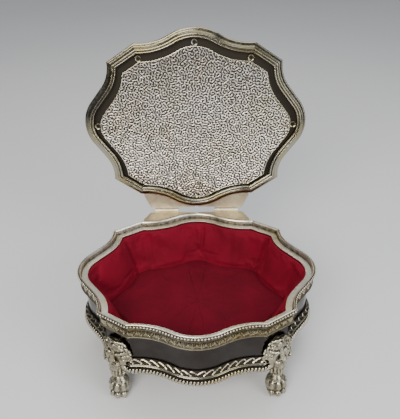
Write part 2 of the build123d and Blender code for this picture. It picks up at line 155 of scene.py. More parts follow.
def runs(grow, step=0.3):
    """The eight stretches of outline between cusps, anticlockwise from the right lobe's front cusp."""
    side, corner, front = lobe_halves(grow, step)
    side = np.concatenate([(side * [1, -1])[::-1][:-1], side])
    front = np.concatenate([front[:-1], front[::-1] * [-1, 1]])
    half = [side, corner, front, (corner * [-1, 1])[::-1]]
    return half + [-run for run in half]


def spaced(grow, pitch):
    """Points and directions along every run of the outline, about one pitch apart."""
    points, ways = [], []
    for run in runs(grow):
        length = np.concatenate([[0], np.cumsum(np.linalg.norm(np.diff(run, axis=0), axis=1))])
        count = max(1, round(length[-1] / pitch))
        at = (np.arange(count) + 0.5) * length[-1] / count
        here, there = (
            np.stack([np.interp(at + shift, length, run[:, axis]) for axis in (0, 1)], 1)
            for shift in (-0.2, 0.2)
        )
        points.append((here + there) / 2)
        ways.append((there - here) / np.linalg.norm(there - here, axis=1)[:, None])
    return np.concatenate(points), np.concatenate(ways)


def close_loop(quarter):
    """Mirrors values along a quarter, or points, into the whole closed loop."""
    if quarter.ndim == 1:
        parts = [quarter, quarter[::-1], quarter, quarter[::-1]]
    else:
        flips = np.array([[1, 1], [-1, 1], [-1, -1], [1, -1]])
        parts = [(quarter if k % 2 == 0 else quarter[::-1]) * flips[k] for k in range(4)]
    return np.concatenate([part[:-1] for part in parts])


def outline(grow, step=0.7):
    """The plan's closed outline as points, with as many points at every growth."""
    side, corner, front = lobe_halves(grow, step)
    return close_loop(np.concatenate([side[:-1], corner[:-1], front]))


def mitre(grow, step):
    """How each outline point moves as the outline grows by one millimetre."""
    return (outline(grow + 0.05, step) - outline(grow - 0.05, step)) / 0.1


def repeats(grow, step, pitch):
    """A repeat count along the outline: whole at every cusp and at every lobe's crown."""
    values = []
    for run, whole in zip(lobe_halves(grow, step), (False, True, False)):
        length = np.concatenate([[0], np.cumsum(np.linalg.norm(np.diff(run, axis=0), axis=1))])
        values.append(length / length[-1] * max(1, round(length[-1] / pitch)))
    side, corner, front = values
    front = front[-1] - front
    return close_loop(np.concatenate([side[:-1], corner[:-1], front]))


# ---- meshes --------------------------------------------------------------------------------
def lid_place(points):
    """Points drawn as if the lid were closed, z from the rim, moved to where the open lid has them."""
    x, y, z = points.T
    y = y - PIVOT[1]
    back = y * cos(LID_ANGLE) + z * sin(LID_ANGLE)
    up = -y * sin(LID_ANGLE) + z * cos(LID_ANGLE)
    return np.stack([x, PIVOT[1] + back, PIVOT[2] + up], 1)


def signed_volume(points, faces):
    first = points[faces[:, 0]]
    total = 0.0
    for k in range(1, faces.shape[1] - 1):
        total += np.einsum("ij,ij->i", first, np.cross(points[faces[:, k]], points[faces[:, k + 1]])).sum()
    return total


def piece(
    name, points, faces, stands_for, material, body="body", finish="silver_plate", crease=40, wear=None
):
    """A named mesh object from points in millimetres; faces is a list of same-sided face arrays."""
    faces = [np.asarray(block) for block in (faces if isinstance(faces, list) else [faces])]
    if body == "lid":
        points = lid_place(points)
    if sum(signed_volume(points, block) for block in faces) < 0:
        faces = [block[:, ::-1] for block in faces]
    mesh = bpy.data.meshes.new(name)
    mesh.vertices.add(len(points))
    mesh.vertices.foreach_set("co", ((points + CENTRE) * MM).astype(np.float32).ravel())
    corners = np.concatenate([block.ravel() for block in faces])
    sides = np.concatenate([np.full(len(block), block.shape[1]) for block in faces])
    mesh.loops.add(len(corners))
    mesh.loops.foreach_set("vertex_index", corners.astype(np.int32))
    mesh.polygons.add(len(sides))
    mesh.polygons.foreach_set("loop_start", np.concatenate([[0], np.cumsum(sides)[:-1]]).astype(np.int32))
    mesh.update(calc_edges=True)
    mesh.validate()
    mesh.polygons.foreach_set("use_smooth", np.ones(len(mesh.polygons), dtype=bool))
    mesh.set_sharp_from_angle(angle=radians(crease))
    if wear is not None:
        layer = mesh.attributes.new("wear", "FLOAT", "POINT")
        layer.data.foreach_set("value", np.asarray(wear, dtype=np.float32))
    mesh.materials.append(material)
    obj = bpy.data.objects.new(name, mesh)
    bpy.context.scene.collection.objects.link(obj)
    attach(obj, body)
    if stands_for:
        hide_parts(*stands_for)
    return obj


def skin(rings, closed=False):
    """Points and faces over a stack of rings; closed joins the last to the first, else both are capped."""
    count, around = len(rings), len(rings[0])
    points = np.concatenate(rings)
    i = np.arange(around)
    j = (i + 1) % around
    quads = []
    for k in range(count if closed else count - 1):
        a, b = k * around, ((k + 1) % count) * around
        quads.append(np.stack([a + i, a + j, b + j, b + i], 1))
    faces = [np.concatenate(quads)]
    if not closed:
        ends = np.array([rings[0].mean(0), rings[-1].mean(0)])
        points = np.concatenate([points, ends])
        first = np.full(around, count * around)
        last = (count - 1) * around
        faces.append(np.stack([j, i, first], 1))
        faces.append(np.stack([last + i, last + j, first + 1], 1))
    return points, faces


def soften(profile, radius=0.25, steps=3):
    """Rounds the corners of a closed profile of (grow, z) points."""
    points = np.array(profile, dtype=float)
    out = []
    for k, corner in enumerate(points):
        sides = [points[k - 1] - corner, points[(k + 1) % len(points)] - corner]
        cuts = [corner + side * min(0.45, radius / max(1e-6, np.linalg.norm(side))) for side in sides]
        for t in np.linspace(0, 1, steps + 1):
            out.append((1 - t) ** 2 * cuts[0] + 2 * t * (1 - t) * corner + t**2 * cuts[1])
    return np.array(out)


def ring(name, profile, stands_for, material, step=0.7, relief=None, shade=None, **more):
    """A closed moulding swept round the plan. relief(grow, z) gives outward bumps, shade(grow, z) a painted shade."""
    rings = []
    bumps = []
    for grow, z in profile:
        flat = outline(grow, step)
        bump = relief(grow, z) if relief else np.zeros(len(flat))
        flat = flat + mitre(grow, step) * bump[:, None]
        rings.append(np.column_stack([flat, np.full(len(flat), z)]))
        bumps.append(bump)
    points, faces = skin(rings, closed=True)
    # The bumps' low parts are painted dark: partly tarnish in the hollows, partly painted shade.
    if relief:
        flat = np.concatenate(bumps)
        more["wear"] = (flat - flat.min()) / max(1e-6, np.ptp(flat))
    if shade:
        more["wear"] = np.repeat([shade(grow, z) for grow, z in profile], len(outline(0, step)))
    return piece(name, points, faces, stands_for, material, **more)


def bead_string(name, grow, z, size, pitch, stands_for, material, tilt=0.0, **more):
    """Beads one by one along every run of the plan; size is each one's (along, out, up) half sizes."""
    rows, cols = 6, 10
    turn = np.arange(cols) * 2 * pi / cols
    rings = []
    for polar in np.linspace(0, pi, rows + 1)[1:-1]:
        flat = [np.sin(polar) * np.cos(turn), np.sin(polar) * np.sin(turn), np.full(cols, np.cos(polar))]
        rings.append(np.stack(flat, 1))
    bead, bead_faces = skin(rings)
    bead[-2:] = [[0, 0, 1], [0, 0, -1]]
    # Painted shade: each bead is darker on its inner side and towards its neighbours, where shade falls.
    wear = np.clip(0.45 + 0.5 * bead[:, 1] - 0.25 * np.abs(bead[:, 0]), 0, 1)
    bead = bead * size
    bead = bead @ np.array([[cos(tilt), 0, -sin(tilt)], [0, 1, 0], [sin(tilt), 0, cos(tilt)]])
    centres, ways = spaced(grow, pitch)
    outward = np.stack([ways[:, 1], -ways[:, 0]], 1)
    flat = centres[:, None] + bead[None, :, :1] * ways[:, None] + bead[None, :, 1:2] * outward[:, None]
    height = np.broadcast_to(z + bead[:, 2], flat.shape[:2])[..., None]
    points = np.concatenate([flat, height], 2).reshape(-1, 3)
    shift = (np.arange(len(centres)) * len(bead))[:, None, None]
    faces = [(block[None] + shift).reshape(-1, block.shape[1]) for block in bead_faces]
    return piece(name, points, faces, stands_for, material, wear=np.tile(wear, len(centres)), **more)


# ---- materials -----------------------------------------------------------------------------
def node(tree, kind, inputs=(), **settings):
    """Adds a shader node; each input is a value or another node's output."""
    made = tree.nodes.new("ShaderNode" + kind)
    for name, value in settings.items():
        setattr(made, name, value)
    for name, value in dict(inputs).items():
        if isinstance(value, bpy.types.NodeSocket):
            tree.links.new(value, made.inputs[name])
        else:
            made.inputs[name].default_value = value
    return made


def noise(tree, scale, detail=4.0, roughness=0.55, stretch=(1, 1, 1)):
    """Noise in the object's own space; scale is in features per metre."""
    place = node(tree, "TexCoord").outputs["Object"]
    place = node(tree, "Mapping", {"Vector": place, "Scale": stretch}).outputs["Vector"]
    return node(
        tree, "TexNoise", {"Vector": place, "Scale": scale, "Detail": detail, "Roughness": roughness}
    ).outputs["Fac"]


def ramp(tree, value, *stops):
    """A colour ramp; each stop is a position and a colour or a grey level."""
    made = node(tree, "ValToRGB", {"Fac": value})
    elements = made.color_ramp.elements
    while len(elements) < len(stops):
        elements.new(0.5)
    for element, (position, colour) in zip(elements, stops):
        element.position = position
        element.color = (*colour, 1) if isinstance(colour, tuple) else (colour, colour, colour, 1)
    return made.outputs["Color"]


def mix(tree, factor, first, second, blend="MIX"):
    made = node(tree, "Mix", data_type="RGBA", blend_type=blend)
    for name, value in (("Factor", factor), ("A", first), ("B", second)):
        socket = [i for i in made.inputs if i.name == name and (name == "Factor" or i.type == "RGBA")][0]
        if isinstance(value, bpy.types.NodeSocket):
            tree.links.new(value, socket)
        else:
            socket.default_value = value if name == "Factor" else (*value, 1)
    return [o for o in made.outputs if o.type == "RGBA"][0]


def new_material(name):
    material = bpy.data.materials.new(name)
    material.use_nodes = True
    tree = material.node_tree
    return material, tree, tree.nodes["Principled BSDF"]


def plate(
    name, bright=(0.80, 0.77, 0.71), tarnish=(0.52, 0.45, 0.34), rough=(0.14, 0.34), recess_tarnish_and_shade=0.0, painted_top_shade=0.0
):
    """Silver plate: warm tarnish in clouds, fine scratches, and dark recesses of tarnish and painted shade.

    The top shade is how much darker the plate is painted towards the top of the open lid: painted shade."""
    material, tree, bsdf = new_material(name)
    clouds = noise(tree, 30, 7, 0.68)
    stain = ramp(tree, clouds, (0.42, 0.0), (0.66, 0.85))
    colour = mix(tree, stain, bright, tarnish)
    # Painted shade: darker towards the top of the open lid, standing in for the darker reflection there.
    if painted_top_shade:
        up = node(tree, "SeparateXYZ", {0: node(tree, "TexCoord").outputs["Object"]}).outputs["Z"]
        up = node(tree, "Math", {0: up, 1: 5.0}, operation="MULTIPLY").outputs[0]
        painted_top_darkening = ramp(tree, up, (0.45, 0.0), (1.0, painted_top_shade))
        colour = mix(tree, painted_top_darkening, colour, (0.06, 0.05, 0.05))
    fine = noise(tree, 420, 5, 0.7)
    roughness = ramp(tree, fine, (0.3, rough[0]), (0.75, rough[1]))
    if recess_tarnish_and_shade:
        # Painted shade: where the wear-and-shade value is low the plate turns near black, partly tarnish in the
        # hollows and partly painted shade.
        worn_and_shaded = node(tree, "Attribute", attribute_name="wear").outputs["Fac"]
        grain = ramp(tree, fine, (0.3, 0.0), (0.7, 0.16))
        worn_and_shaded = node(tree, "Math", {0: worn_and_shaded, 1: grain}, operation="ADD").outputs[0]
        shade = ramp(tree, worn_and_shaded, (0.16, 1.0), (0.30 + 0.3 * recess_tarnish_and_shade, 0.0))
        colour = mix(tree, shade, colour, (0.035, 0.030, 0.024))
        roughness = mix(tree, shade, roughness, (0.6, 0.6, 0.6))
    scratch = noise(tree, 700, 3, 0.6, stretch=(1, 0.12, 1))
    bump = node(tree, "Bump", {"Height": scratch, "Strength": 0.05, "Distance": 0.0002}).outputs["Normal"]
    for name, value in (("Base Color", colour), ("Roughness", roughness), ("Normal", bump)):
        tree.links.new(value, bsdf.inputs[name])
    bsdf.inputs["Metallic"].default_value = 1.0
    return material


def velvet(name, light):
    """Deep red velvet whose fibres catch light at its folds' edges; light sets how pale it is, as painted light."""
    material, tree, bsdf = new_material(name)
    deep, bright, tip = (
        tuple(light * level * part for part in (1.0, 0.014, 0.085)) for level in (0.080, 0.135, 0.17)
    )
    nap = ramp(tree, noise(tree, 45, 5, 0.6), (0.3, deep), (0.75, bright))
    pile = noise(tree, 2600, 2, 0.5)
    colour = mix(tree, ramp(tree, pile, (0.35, 0.0), (0.8, 0.30)), nap, tip)
    bump = node(tree, "Bump", {"Height": pile, "Strength": 0.35, "Distance": 0.0003}).outputs["Normal"]
    tree.links.new(colour, bsdf.inputs["Base Color"])
    tree.links.new(bump, bsdf.inputs["Normal"])
    bsdf.inputs["Roughness"].default_value = 0.85
    bsdf.inputs["Specular IOR Level"].default_value = 0.15
    bsdf.inputs["Sheen Weight"].default_value = 0.10
    bsdf.inputs["Sheen Roughness"].default_value = 0.40
    bsdf.inputs["Sheen Tint"].default_value = (0.8, 0.03, 0.07, 1)
    return material


def board(name):
    """Grey card with a fibre fleck."""
    material, tree, bsdf = new_material(name)
    fleck = ramp(tree, noise(tree, 900, 4), (0.3, (0.36, 0.32, 0.26)), (0.7, (0.5, 0.46, 0.38)))
    tree.links.new(fleck, bsdf.inputs["Base Color"])
    bsdf.inputs["Roughness"].default_value = 0.9
    return material


# The copies of silver plate below differ in base brightness, from the near-black frieze to the pale rim and inner
# sheet: besides tarnish, this is painted reflection, set part by part for what each part reflects.
POLISHED = plate("polished_plate", bright=(0.52, 0.48, 0.39), tarnish=(0.34, 0.28, 0.14))
ANTIQUED_AND_SHADED = plate(
    "antiqued_and_shaded_plate", bright=(0.36, 0.34, 0.28), tarnish=(0.34, 0.29, 0.12),
    rough=(0.10, 0.26), recess_tarnish_and_shade=0.5, painted_top_shade=0.3,
)
RIM = plate(
    "rim_plate", bright=(0.82, 0.76, 0.65), tarnish=(0.62, 0.54, 0.34),
    rough=(0.26, 0.42), recess_tarnish_and_shade=0.5,
)
# Painted reflection: the frieze's silver is painted near black, standing in for the dark room that it reflects.
FRIEZE_PAINTED_DARK = plate(
    "frieze_plate_painted_dark", bright=(0.055, 0.048, 0.045), tarnish=(0.030, 0.025, 0.021),
    rough=(0.10, 0.24),
)
BORDER = plate(
    "antique_border", bright=(0.55, 0.51, 0.41), tarnish=(0.40, 0.33, 0.18),
    rough=(0.15, 0.32), recess_tarnish_and_shade=0.8,
)
CASTING = plate(
    "antique_casting", bright=(0.50, 0.46, 0.35), tarnish=(0.28, 0.23, 0.13),
    rough=(0.14, 0.32), recess_tarnish_and_shade=0.9,
)
EMBOSSED = plate(
    "embossed_sheet", bright=(0.95, 0.90, 0.80), tarnish=(0.78, 0.70, 0.53),
    rough=(0.18, 0.34), recess_tarnish_and_shade=1.0, painted_top_shade=0.74,
)
LEAVES = plate(
    "leaf_border", bright=(0.42, 0.38, 0.29), tarnish=(0.27, 0.22, 0.11),
    rough=(0.16, 0.34), recess_tarnish_and_shade=1.3,
)
HINGES = plate("hinge_plate", bright=(0.74, 0.66, 0.47), tarnish=(0.34, 0.25, 0.19), rough=(0.38, 0.55))
STEEL = plate("turned_steel", bright=(0.55, 0.55, 0.55), tarnish=(0.35, 0.33, 0.3), rough=(0.3, 0.5))
# Painted light: one velvet in two copies, the wall's painted paler and the pad's darker, standing in for the better
# lit wall.
WALL_VELVET = velvet("red_wall_velvet", 1.45)
PAD_VELVET = velvet("red_pad_velvet", 0.95)
CARD = board("grey_card")


def dress(node, material):
    """Gives a CAD node that stays a finished material."""
    for place in bpy.data.objects[node].material_slots:
        place.material = material


for side in ("left", "right"):
    dress(f"body_hinge_leaf_{side}", HINGES)
    dress(f"lid_hinge_leaf_{side}", HINGES)
    dress(f"hinge_pin_{side}", STEEL)
for fixing in ("leg_screws", "leg_nuts"):
    dress(fixing, STEEL)
dress("base_plate", POLISHED)
dress("lining_board", CARD)

# ---- the body's rings ----------------------------------------------------------------------
COVE_Z = RIM_Z - 2.0
LEDGE_TOP = 68.8


def rim_shade(grow, z):
    """Painted shade in the cove and behind the beads, painted reflection down the inner wall; bright on the top and
    the shelf.
    """
    if z < COVE_Z - 0.3 and grow > -3.1:
        return 0.1
    if -3.2 < grow < -2.2 and LEDGE_TOP + 0.1 < z < RIM_Z - 0.7:
        return 0.22
    return 0.15 if grow > -1.7 and z < RIM_Z - 0.6 else 1.0


ring(
    "rim_roll",
    soften(
        [
            (-3.0, LEDGE_Z + 0.03), (-3.0, LEDGE_Z + 1.2), (-1.4, COVE_Z - 0.5), (-0.7, COVE_Z),
            (-1.5, COVE_Z), (-1.5, RIM_Z - 0.4), (-1.8, RIM_Z), (-2.05, RIM_Z),
            (-2.15, RIM_Z - 0.5), (-2.7, RIM_Z - 1.1),
            (-2.9, LEDGE_TOP), (-3.3, LEDGE_TOP), (-7.5, LEDGE_TOP), (-7.5, LEDGE_Z + 0.03),
        ],
        0.2,
    ),
    ["rim_moulding"],
    RIM,
    shade=rim_shade,
)
bead_string(
    "rim_beads", -0.78, COVE_Z + 0.76, (1.0, 0.75, 0.7), 2.2, ["upper_bead_row"], BORDER,
    finish="antique_border",
)


def leaf_relief(grow, z):
    """Upright leaves with a pointed foot and three ribs, over a thin bright foot."""
    x = (repeats(-2.0, LEAF_STEP, LEAF_PITCH) % 1 - 0.5) * LEAF_PITCH
    up = z - LEAF_Z - 1.2
    if grow < -3.2 or not 0 < up < LEDGE_Z - LEAF_Z - 1.2:
        return np.zeros(len(x))
    half = 2.7 * min(1.0, up / 2.8) ** 0.65
    ribs = sum(np.exp(-(((x - rib * half / 2.7) / 0.38) ** 2)) for rib in (-1.5, 0.0, 1.5))
    edge = np.exp(-(((np.abs(x) - half) / 0.30) ** 2))
    # These bumps also set the painted shade: the ground between the ribs and the grooves at the leaves' edges come
    # out dark.
    return np.where(np.abs(x) < half, 1.1 * np.clip(ribs, 0, 1) - 0.15, 0.25) - 0.3 * edge


LEAF_PITCH = 6.4
LEAF_STEP = 0.28
leaf_face = [(-2.95, LEAF_Z + 1.25 + k * 0.36) for k in range(12)]
ring(
    "leaf_border",
    [(-4.9, LEAF_Z), (-2.0, LEAF_Z), (-1.45, LEAF_Z + 0.25), (-1.4, LEAF_Z + 0.7), (-1.75, LEAF_Z + 1.0)]
    + leaf_face
    + [(-3.5, LEAF_Z + 5.4), (-3.5, LEDGE_Z - 0.05), (-4.9, LEDGE_Z - 0.05)],
    ["upper_leaf_border"],
    LEAVES,
    step=LEAF_STEP,
    relief=leaf_relief,
    finish="antique_border",
)
ring(
    "frieze_band",
    soften(
        [
            (FRIEZE_GROW, FRIEZE_FOOT), (FRIEZE_GROW, LEDGE_Z),
            (FRIEZE_GROW - WALL, LEDGE_Z), (FRIEZE_GROW - WALL, FRIEZE_FOOT),
        ],
        0.2,
    ),
    ["body_frieze"],
    FRIEZE_PAINTED_DARK,
)

SCROLL_STEP = 0.3
WAVE_PITCH = 5.9


def wave_relief(grow, z):
    """A running wave: each crest curls over and its tail runs down under the next one."""
    u = -repeats(-3.0, SCROLL_STEP, WAVE_PITCH) * WAVE_PITCH
    up = z - SCROLL_Z
    if grow < -4.8 or not 0.1 < up < FRIEZE_Z - SCROLL_Z + 0.2:
        return np.zeros(len(u))
    t = np.linspace(0, 1, 30)
    crest_x = np.concatenate([1.5 - 1.1 * np.sin(t * pi * 1.1), 1.5 + t * 6.2])
    crest_z = np.concatenate([1.8 + 1.35 * -np.cos(t * pi * 1.1), 3.2 - 2.9 * t**1.3])
    nearest = np.full(len(u), 9.0)
    for x, height in zip(crest_x, 0.86 * crest_z):
        gap = np.abs((u - x + WAVE_PITCH / 2) % WAVE_PITCH - WAVE_PITCH / 2)
        nearest = np.minimum(nearest, np.hypot(gap, up - height))
    return 0.5 * np.sqrt(np.clip(1 - (nearest / 0.33) ** 2, 0, 1))


SCROLL_HEIGHT = FRIEZE_Z - SCROLL_Z - 0.3
scroll_face = [(-2.55 - 1.9 * k / 12, SCROLL_Z + 0.25 + SCROLL_HEIGHT * k / 12) for k in range(13)]
ring(
    "wave_border",
    [(-4.9, SCROLL_Z), (-1.9, SCROLL_Z)] + scroll_face + [(-4.9, FRIEZE_Z)],
    ["lower_scroll_border"],
    LEAVES,
    step=SCROLL_STEP,
    relief=wave_relief,
    finish="antique_border",
)


def base_shade(grow, z):
    """Painted shade: dark in the groove over the lowest beads and in the one between the two steps."""
    return 0.08 if z < BASE_Z + 1.75 or abs(z - BASE_Z - 2.6) < 0.15 else 1.0


ring(
    "base_steps",
    soften(
        [
            (-4.9, BASE_Z), (-2.3, BASE_Z), (-2.6, BASE_Z + 0.9), (-2.3, BASE_Z + 1.6), (-1.55, BASE_Z + 1.9),
            (-1.5, BASE_Z + 2.3), (-1.95, BASE_Z + 2.6), (-1.6, BASE_Z + 3.0), (-1.5, SCROLL_Z - 0.3),
            (-1.8, SCROLL_Z - 0.03), (-4.9, SCROLL_Z - 0.03),
        ],
        0.25,
    ),
    ["base_moulding"],
    ANTIQUED_AND_SHADED,
    shade=base_shade,
)


def core_shade(grow, z):
    """Painted shade: dark everywhere, since it only shows in the shade between the gadroons."""
    return 0.0


ring(
    "gadroon_core",
    soften([(-4.85, BEADS_Z + 0.4), (-1.9, BEADS_Z + 0.4), (-1.9, BASE_Z - 0.3), (-4.85, BASE_Z - 0.1)], 0.3),
    [],
    BORDER,
    finish="antique_border",
    shade=core_shade,
)
bead_string(
    "gadroon_beads", -1.5, (BEADS_Z + BASE_Z) / 2, (1.15, 1.3, 2.5), 2.5, ["base_bead_row"], BORDER,
    tilt=0.30, finish="antique_border",
)


# ---- scrollwork ----------------------------------------------------------------------------
def scrollwork(half_width, half_depth, step, spacing, size, line, seed):
    """A height picture from 0 to 1 of small curls strewn evenly, each a spiral with a tail."""
    rng = np.random.default_rng(seed)
    shape = (int(2 * half_width / step) + 1, int(2 * half_depth / step) + 1)
    cells = [np.arange(-half + spacing / 2, half, spacing) for half in (half_width, half_depth)]
    centres = np.stack(np.meshgrid(*cells, indexing="ij"), -1)
    centres[::2, :, 1] += spacing / 2
    centres = centres.reshape(-1, 2) + rng.uniform(-0.24, 0.24, (centres.size // 2, 2)) * spacing
    t = np.linspace(0, 1, 70)
    start, turn = rng.uniform(0, 2 * pi, len(centres)), rng.choice([-1, 1], len(centres))
    scale = size * rng.uniform(0.75, 1.15, len(centres))
    radius = 0.25 + 0.75 * t
    angle = start[:, None] + turn[:, None] * t * 2 * pi * 1.1
    curl = np.stack([np.cos(angle), np.sin(angle)], -1) * (radius * scale[:, None])[..., None]
    tip, way = curl[:, -1:], curl[:, -1:] - curl[:, -3:-2]
    way = way / np.linalg.norm(way, axis=2, keepdims=True)
    side = np.stack([-way[..., 1], way[..., 0]], -1) * -turn[:, None, None]
    reach = (t[:30] * 2.0)[None, :, None] * scale[:, None, None]
    tail = tip + way * reach + side * reach**2 / scale[:, None, None] * 0.35
    paths = np.concatenate([curl, tail], 1) + centres[:, None]
    spots = paths.reshape(-1, 2) + [half_width, half_depth]
    picture = np.zeros(shape)
    reach = int(ceil(line / step))
    base = np.round(spots / step).astype(int)
    for i in range(-reach, reach + 1):
        for j in range(-reach, reach + 1):
            cell = base + [i, j]
            inside = ((cell >= 0) & (cell < shape)).all(1)
            gap = np.linalg.norm(cell[inside] * step - spots[inside], axis=1)
            rise = np.sqrt(np.clip(1 - (gap / line) ** 2, 0, 1))
            np.maximum.at(picture, tuple(cell[inside].T), rise)
    return picture


def look_up(picture, half_width, half_depth, step, x, y):
    """The picture's height at points, by bilinear reading."""
    u, v = (x + half_width) / step, (y + half_depth) / step
    i = np.clip(u.astype(int), 0, picture.shape[0] - 2)
    j = np.clip(v.astype(int), 0, picture.shape[1] - 2)
    a, b = np.clip(u - i, 0, 1), np.clip(v - j, 0, 1)
    near = picture[i, j] * (1 - a) + picture[i + 1, j] * a
    far = picture[i, j + 1] * (1 - a) + picture[i + 1, j + 1] * a
    return near * (1 - b) + far * b


def inside_outline(x, y, loop):
    """Whether points lie inside a closed outline."""
    inside = np.zeros(x.shape, dtype=bool)
    for (x1, y1), (x2, y2) in zip(loop, np.roll(loop, -1, axis=0)):
        if y1 == y2:
            continue
        crosses = (y1 > y) != (y2 > y)
        inside ^= crosses & (x < (x2 - x1) * (y - y1) / (y2 - y1) + x1)
    return inside


# ---- the lid -------------------------------------------------------------------------------
def scroll_sheet(gx, gy, cell, wave, seed):
    """A height picture from 0 to 1 of tight spirals, one to a cell, whose lines join and fill the sheet."""
    rng = np.random.default_rng(seed)
    step = gx[1, 0] - gx[0, 0]
    columns, rows = (np.arange(grid[0, 0], -grid[0, 0], cell) for grid in (gx, gy))
    columns, rows = np.meshgrid(columns, rows, indexing="ij")
    rows[::2] += cell / 2
    centres = np.stack([columns, rows], -1).reshape(-1, 2)
    centres = centres + rng.uniform(-0.25, 0.25, centres.shape) * cell
    nearest = np.full(gx.shape, 1e9)
    sheet = np.zeros(gx.shape)
    reach = int(1.6 * cell / step)
    for centre in centres:
        i = int((centre[0] - gx[0, 0]) / step)
        j = int((centre[1] - gy[0, 0]) / step)
        window = (slice(max(0, i - reach), i + reach), slice(max(0, j - reach), j + reach))
        dx, dy = gx[window] - centre[0], gy[window] - centre[1]
        away = np.hypot(dx, dy)
        turn = rng.choice([-1, 1])
        spiral = np.cos(2 * pi * away / wave - turn * np.arctan2(dy, dx) + rng.uniform(0, 2 * pi))
        closer = away < nearest[window]
        sheet[window] = np.where(closer, spiral, sheet[window])
        nearest[window] = np.minimum(nearest[window], away)
    pitch = np.hypot(*np.meshgrid(*(np.fft.fftfreq(n, step) for n in gx.shape), indexing="ij"))
    band = np.exp(-(((pitch * wave - 1) / 0.42) ** 2))
    sheet = sheet + rng.normal(0, 1.9, sheet.shape)
    for _ in range(2):
        sheet = np.fft.ifft2(np.fft.fft2(sheet) * band).real
        sheet = np.tanh(1.3 * sheet / sheet.std())
    return np.clip(0.45 + 0.6 * sheet, 0, 1)


def panel_outline(grow, step=0.7):
    return outline(PANEL_GROW + grow, step) * [PANEL_NARROW, 1] + [0, PANEL_SHIFT]


def make_panel():
    """The inner sheet: fine scrolls in relief, trimmed to its outline, with a rolled edge."""
    step = 0.27
    reach = (79.0, 67.0)
    x = np.arange(-reach[0], reach[0], step)
    y = np.arange(-reach[1], reach[1], step)
    gx, gy = np.meshgrid(x, y, indexing="ij")
    inside = inside_outline(gx, gy, panel_outline(-0.3))
    relief = scroll_sheet(gx, gy, 5.4, 2.1, 11)
    number = np.full(gx.shape, -1)
    kept = inside[:-1, :-1] & inside[1:, :-1] & inside[1:, 1:] & inside[:-1, 1:]
    used = np.zeros(gx.shape, dtype=bool)
    for di in (0, 1):
        for dj in (0, 1):
            used[di : di + kept.shape[0], dj : dj + kept.shape[1]] |= kept
    number[used] = np.arange(used.sum())
    front = np.column_stack([gx[used], gy[used], PANEL_Z - 0.8 - 0.36 * relief[used]])
    i, j = np.nonzero(kept)
    quads = np.stack([number[i, j], number[i + 1, j], number[i + 1, j + 1], number[i, j + 1]], 1)
    edges = np.concatenate([quads[:, [k, (k + 1) % 4]] for k in range(4)])
    keys = edges[:, 0] * np.int64(len(front)) + edges[:, 1]
    paired = np.isin(keys, edges[:, 1] * np.int64(len(front)) + edges[:, 0])
    rim = edges[~paired]
    lower = np.unique(rim)
    place = np.full(len(front), -1)
    place[lower] = len(front) + np.arange(len(lower))
    back = np.column_stack([front[lower, :2], np.full(len(lower), PANEL_Z)])
    middle = np.array([[0, PANEL_SHIFT, PANEL_Z]])
    points = np.concatenate([front, back, middle])
    walls = np.column_stack([rim[:, 1], rim[:, 0], place[rim[:, 0]], place[rim[:, 1]]])
    centre = np.full(len(rim), len(points) - 1)
    fan = np.column_stack([place[rim[:, 1]], place[rim[:, 0]], centre])
    # Painted shade: the ground between the raised scrolls comes out dark, partly tarnish in the hollows, partly
    # painted shade.
    wear = np.concatenate([relief[used], np.zeros(len(points) - len(front))])
    piece(
        "scroll_panel", points, [np.concatenate([quads, walls]), fan], ["lid_inner_panel"], EMBOSSED,
        body="lid", finish="embossed_sheet", wear=wear,
    )
    lip = soften([(0.0, PANEL_Z), (0.0, 0.35), (-0.9, 0.35), (-0.9, PANEL_Z)], 0.25)
    rings = [np.column_stack([panel_outline(grow), np.full(len(panel_outline(0)), z)]) for grow, z in lip]
    piece("panel_edge", *skin(rings, closed=True), [], POLISHED, body="lid", finish="embossed_sheet")


def lathe(name, centres, profile, stands_for, material, around=28, **more):
    """Turned pieces: one closed profile of (radius, z) round each centre."""
    angle = np.arange(around) * 2 * pi / around
    rings = [np.column_stack([r * np.cos(angle), r * np.sin(angle), np.full(around, z)]) for r, z in profile]
    points, faces = skin(rings, closed=True)
    every = np.concatenate([points + [x, y, 0] for x, y in centres])
    shift = (np.arange(len(centres)) * len(points))[:, None, None]
    blocks = [(block[None] + shift).reshape(-1, block.shape[1]) for block in faces]
    return piece(name, every, blocks, stands_for, material, **more)


def lid_shade(grow, z):
    """The lid frame's flat band is dark, a painted reflection, and its groove dark, a painted shade; its beads are
    bright.
    """
    if z > 0.8:
        return 0.0 if grow > -19.4 and z < WEB_Z + 0.3 else 1.0
    return 0.12 if -5.5 < grow < -5.0 or grow < -7.1 and z > -2.3 else 1.0


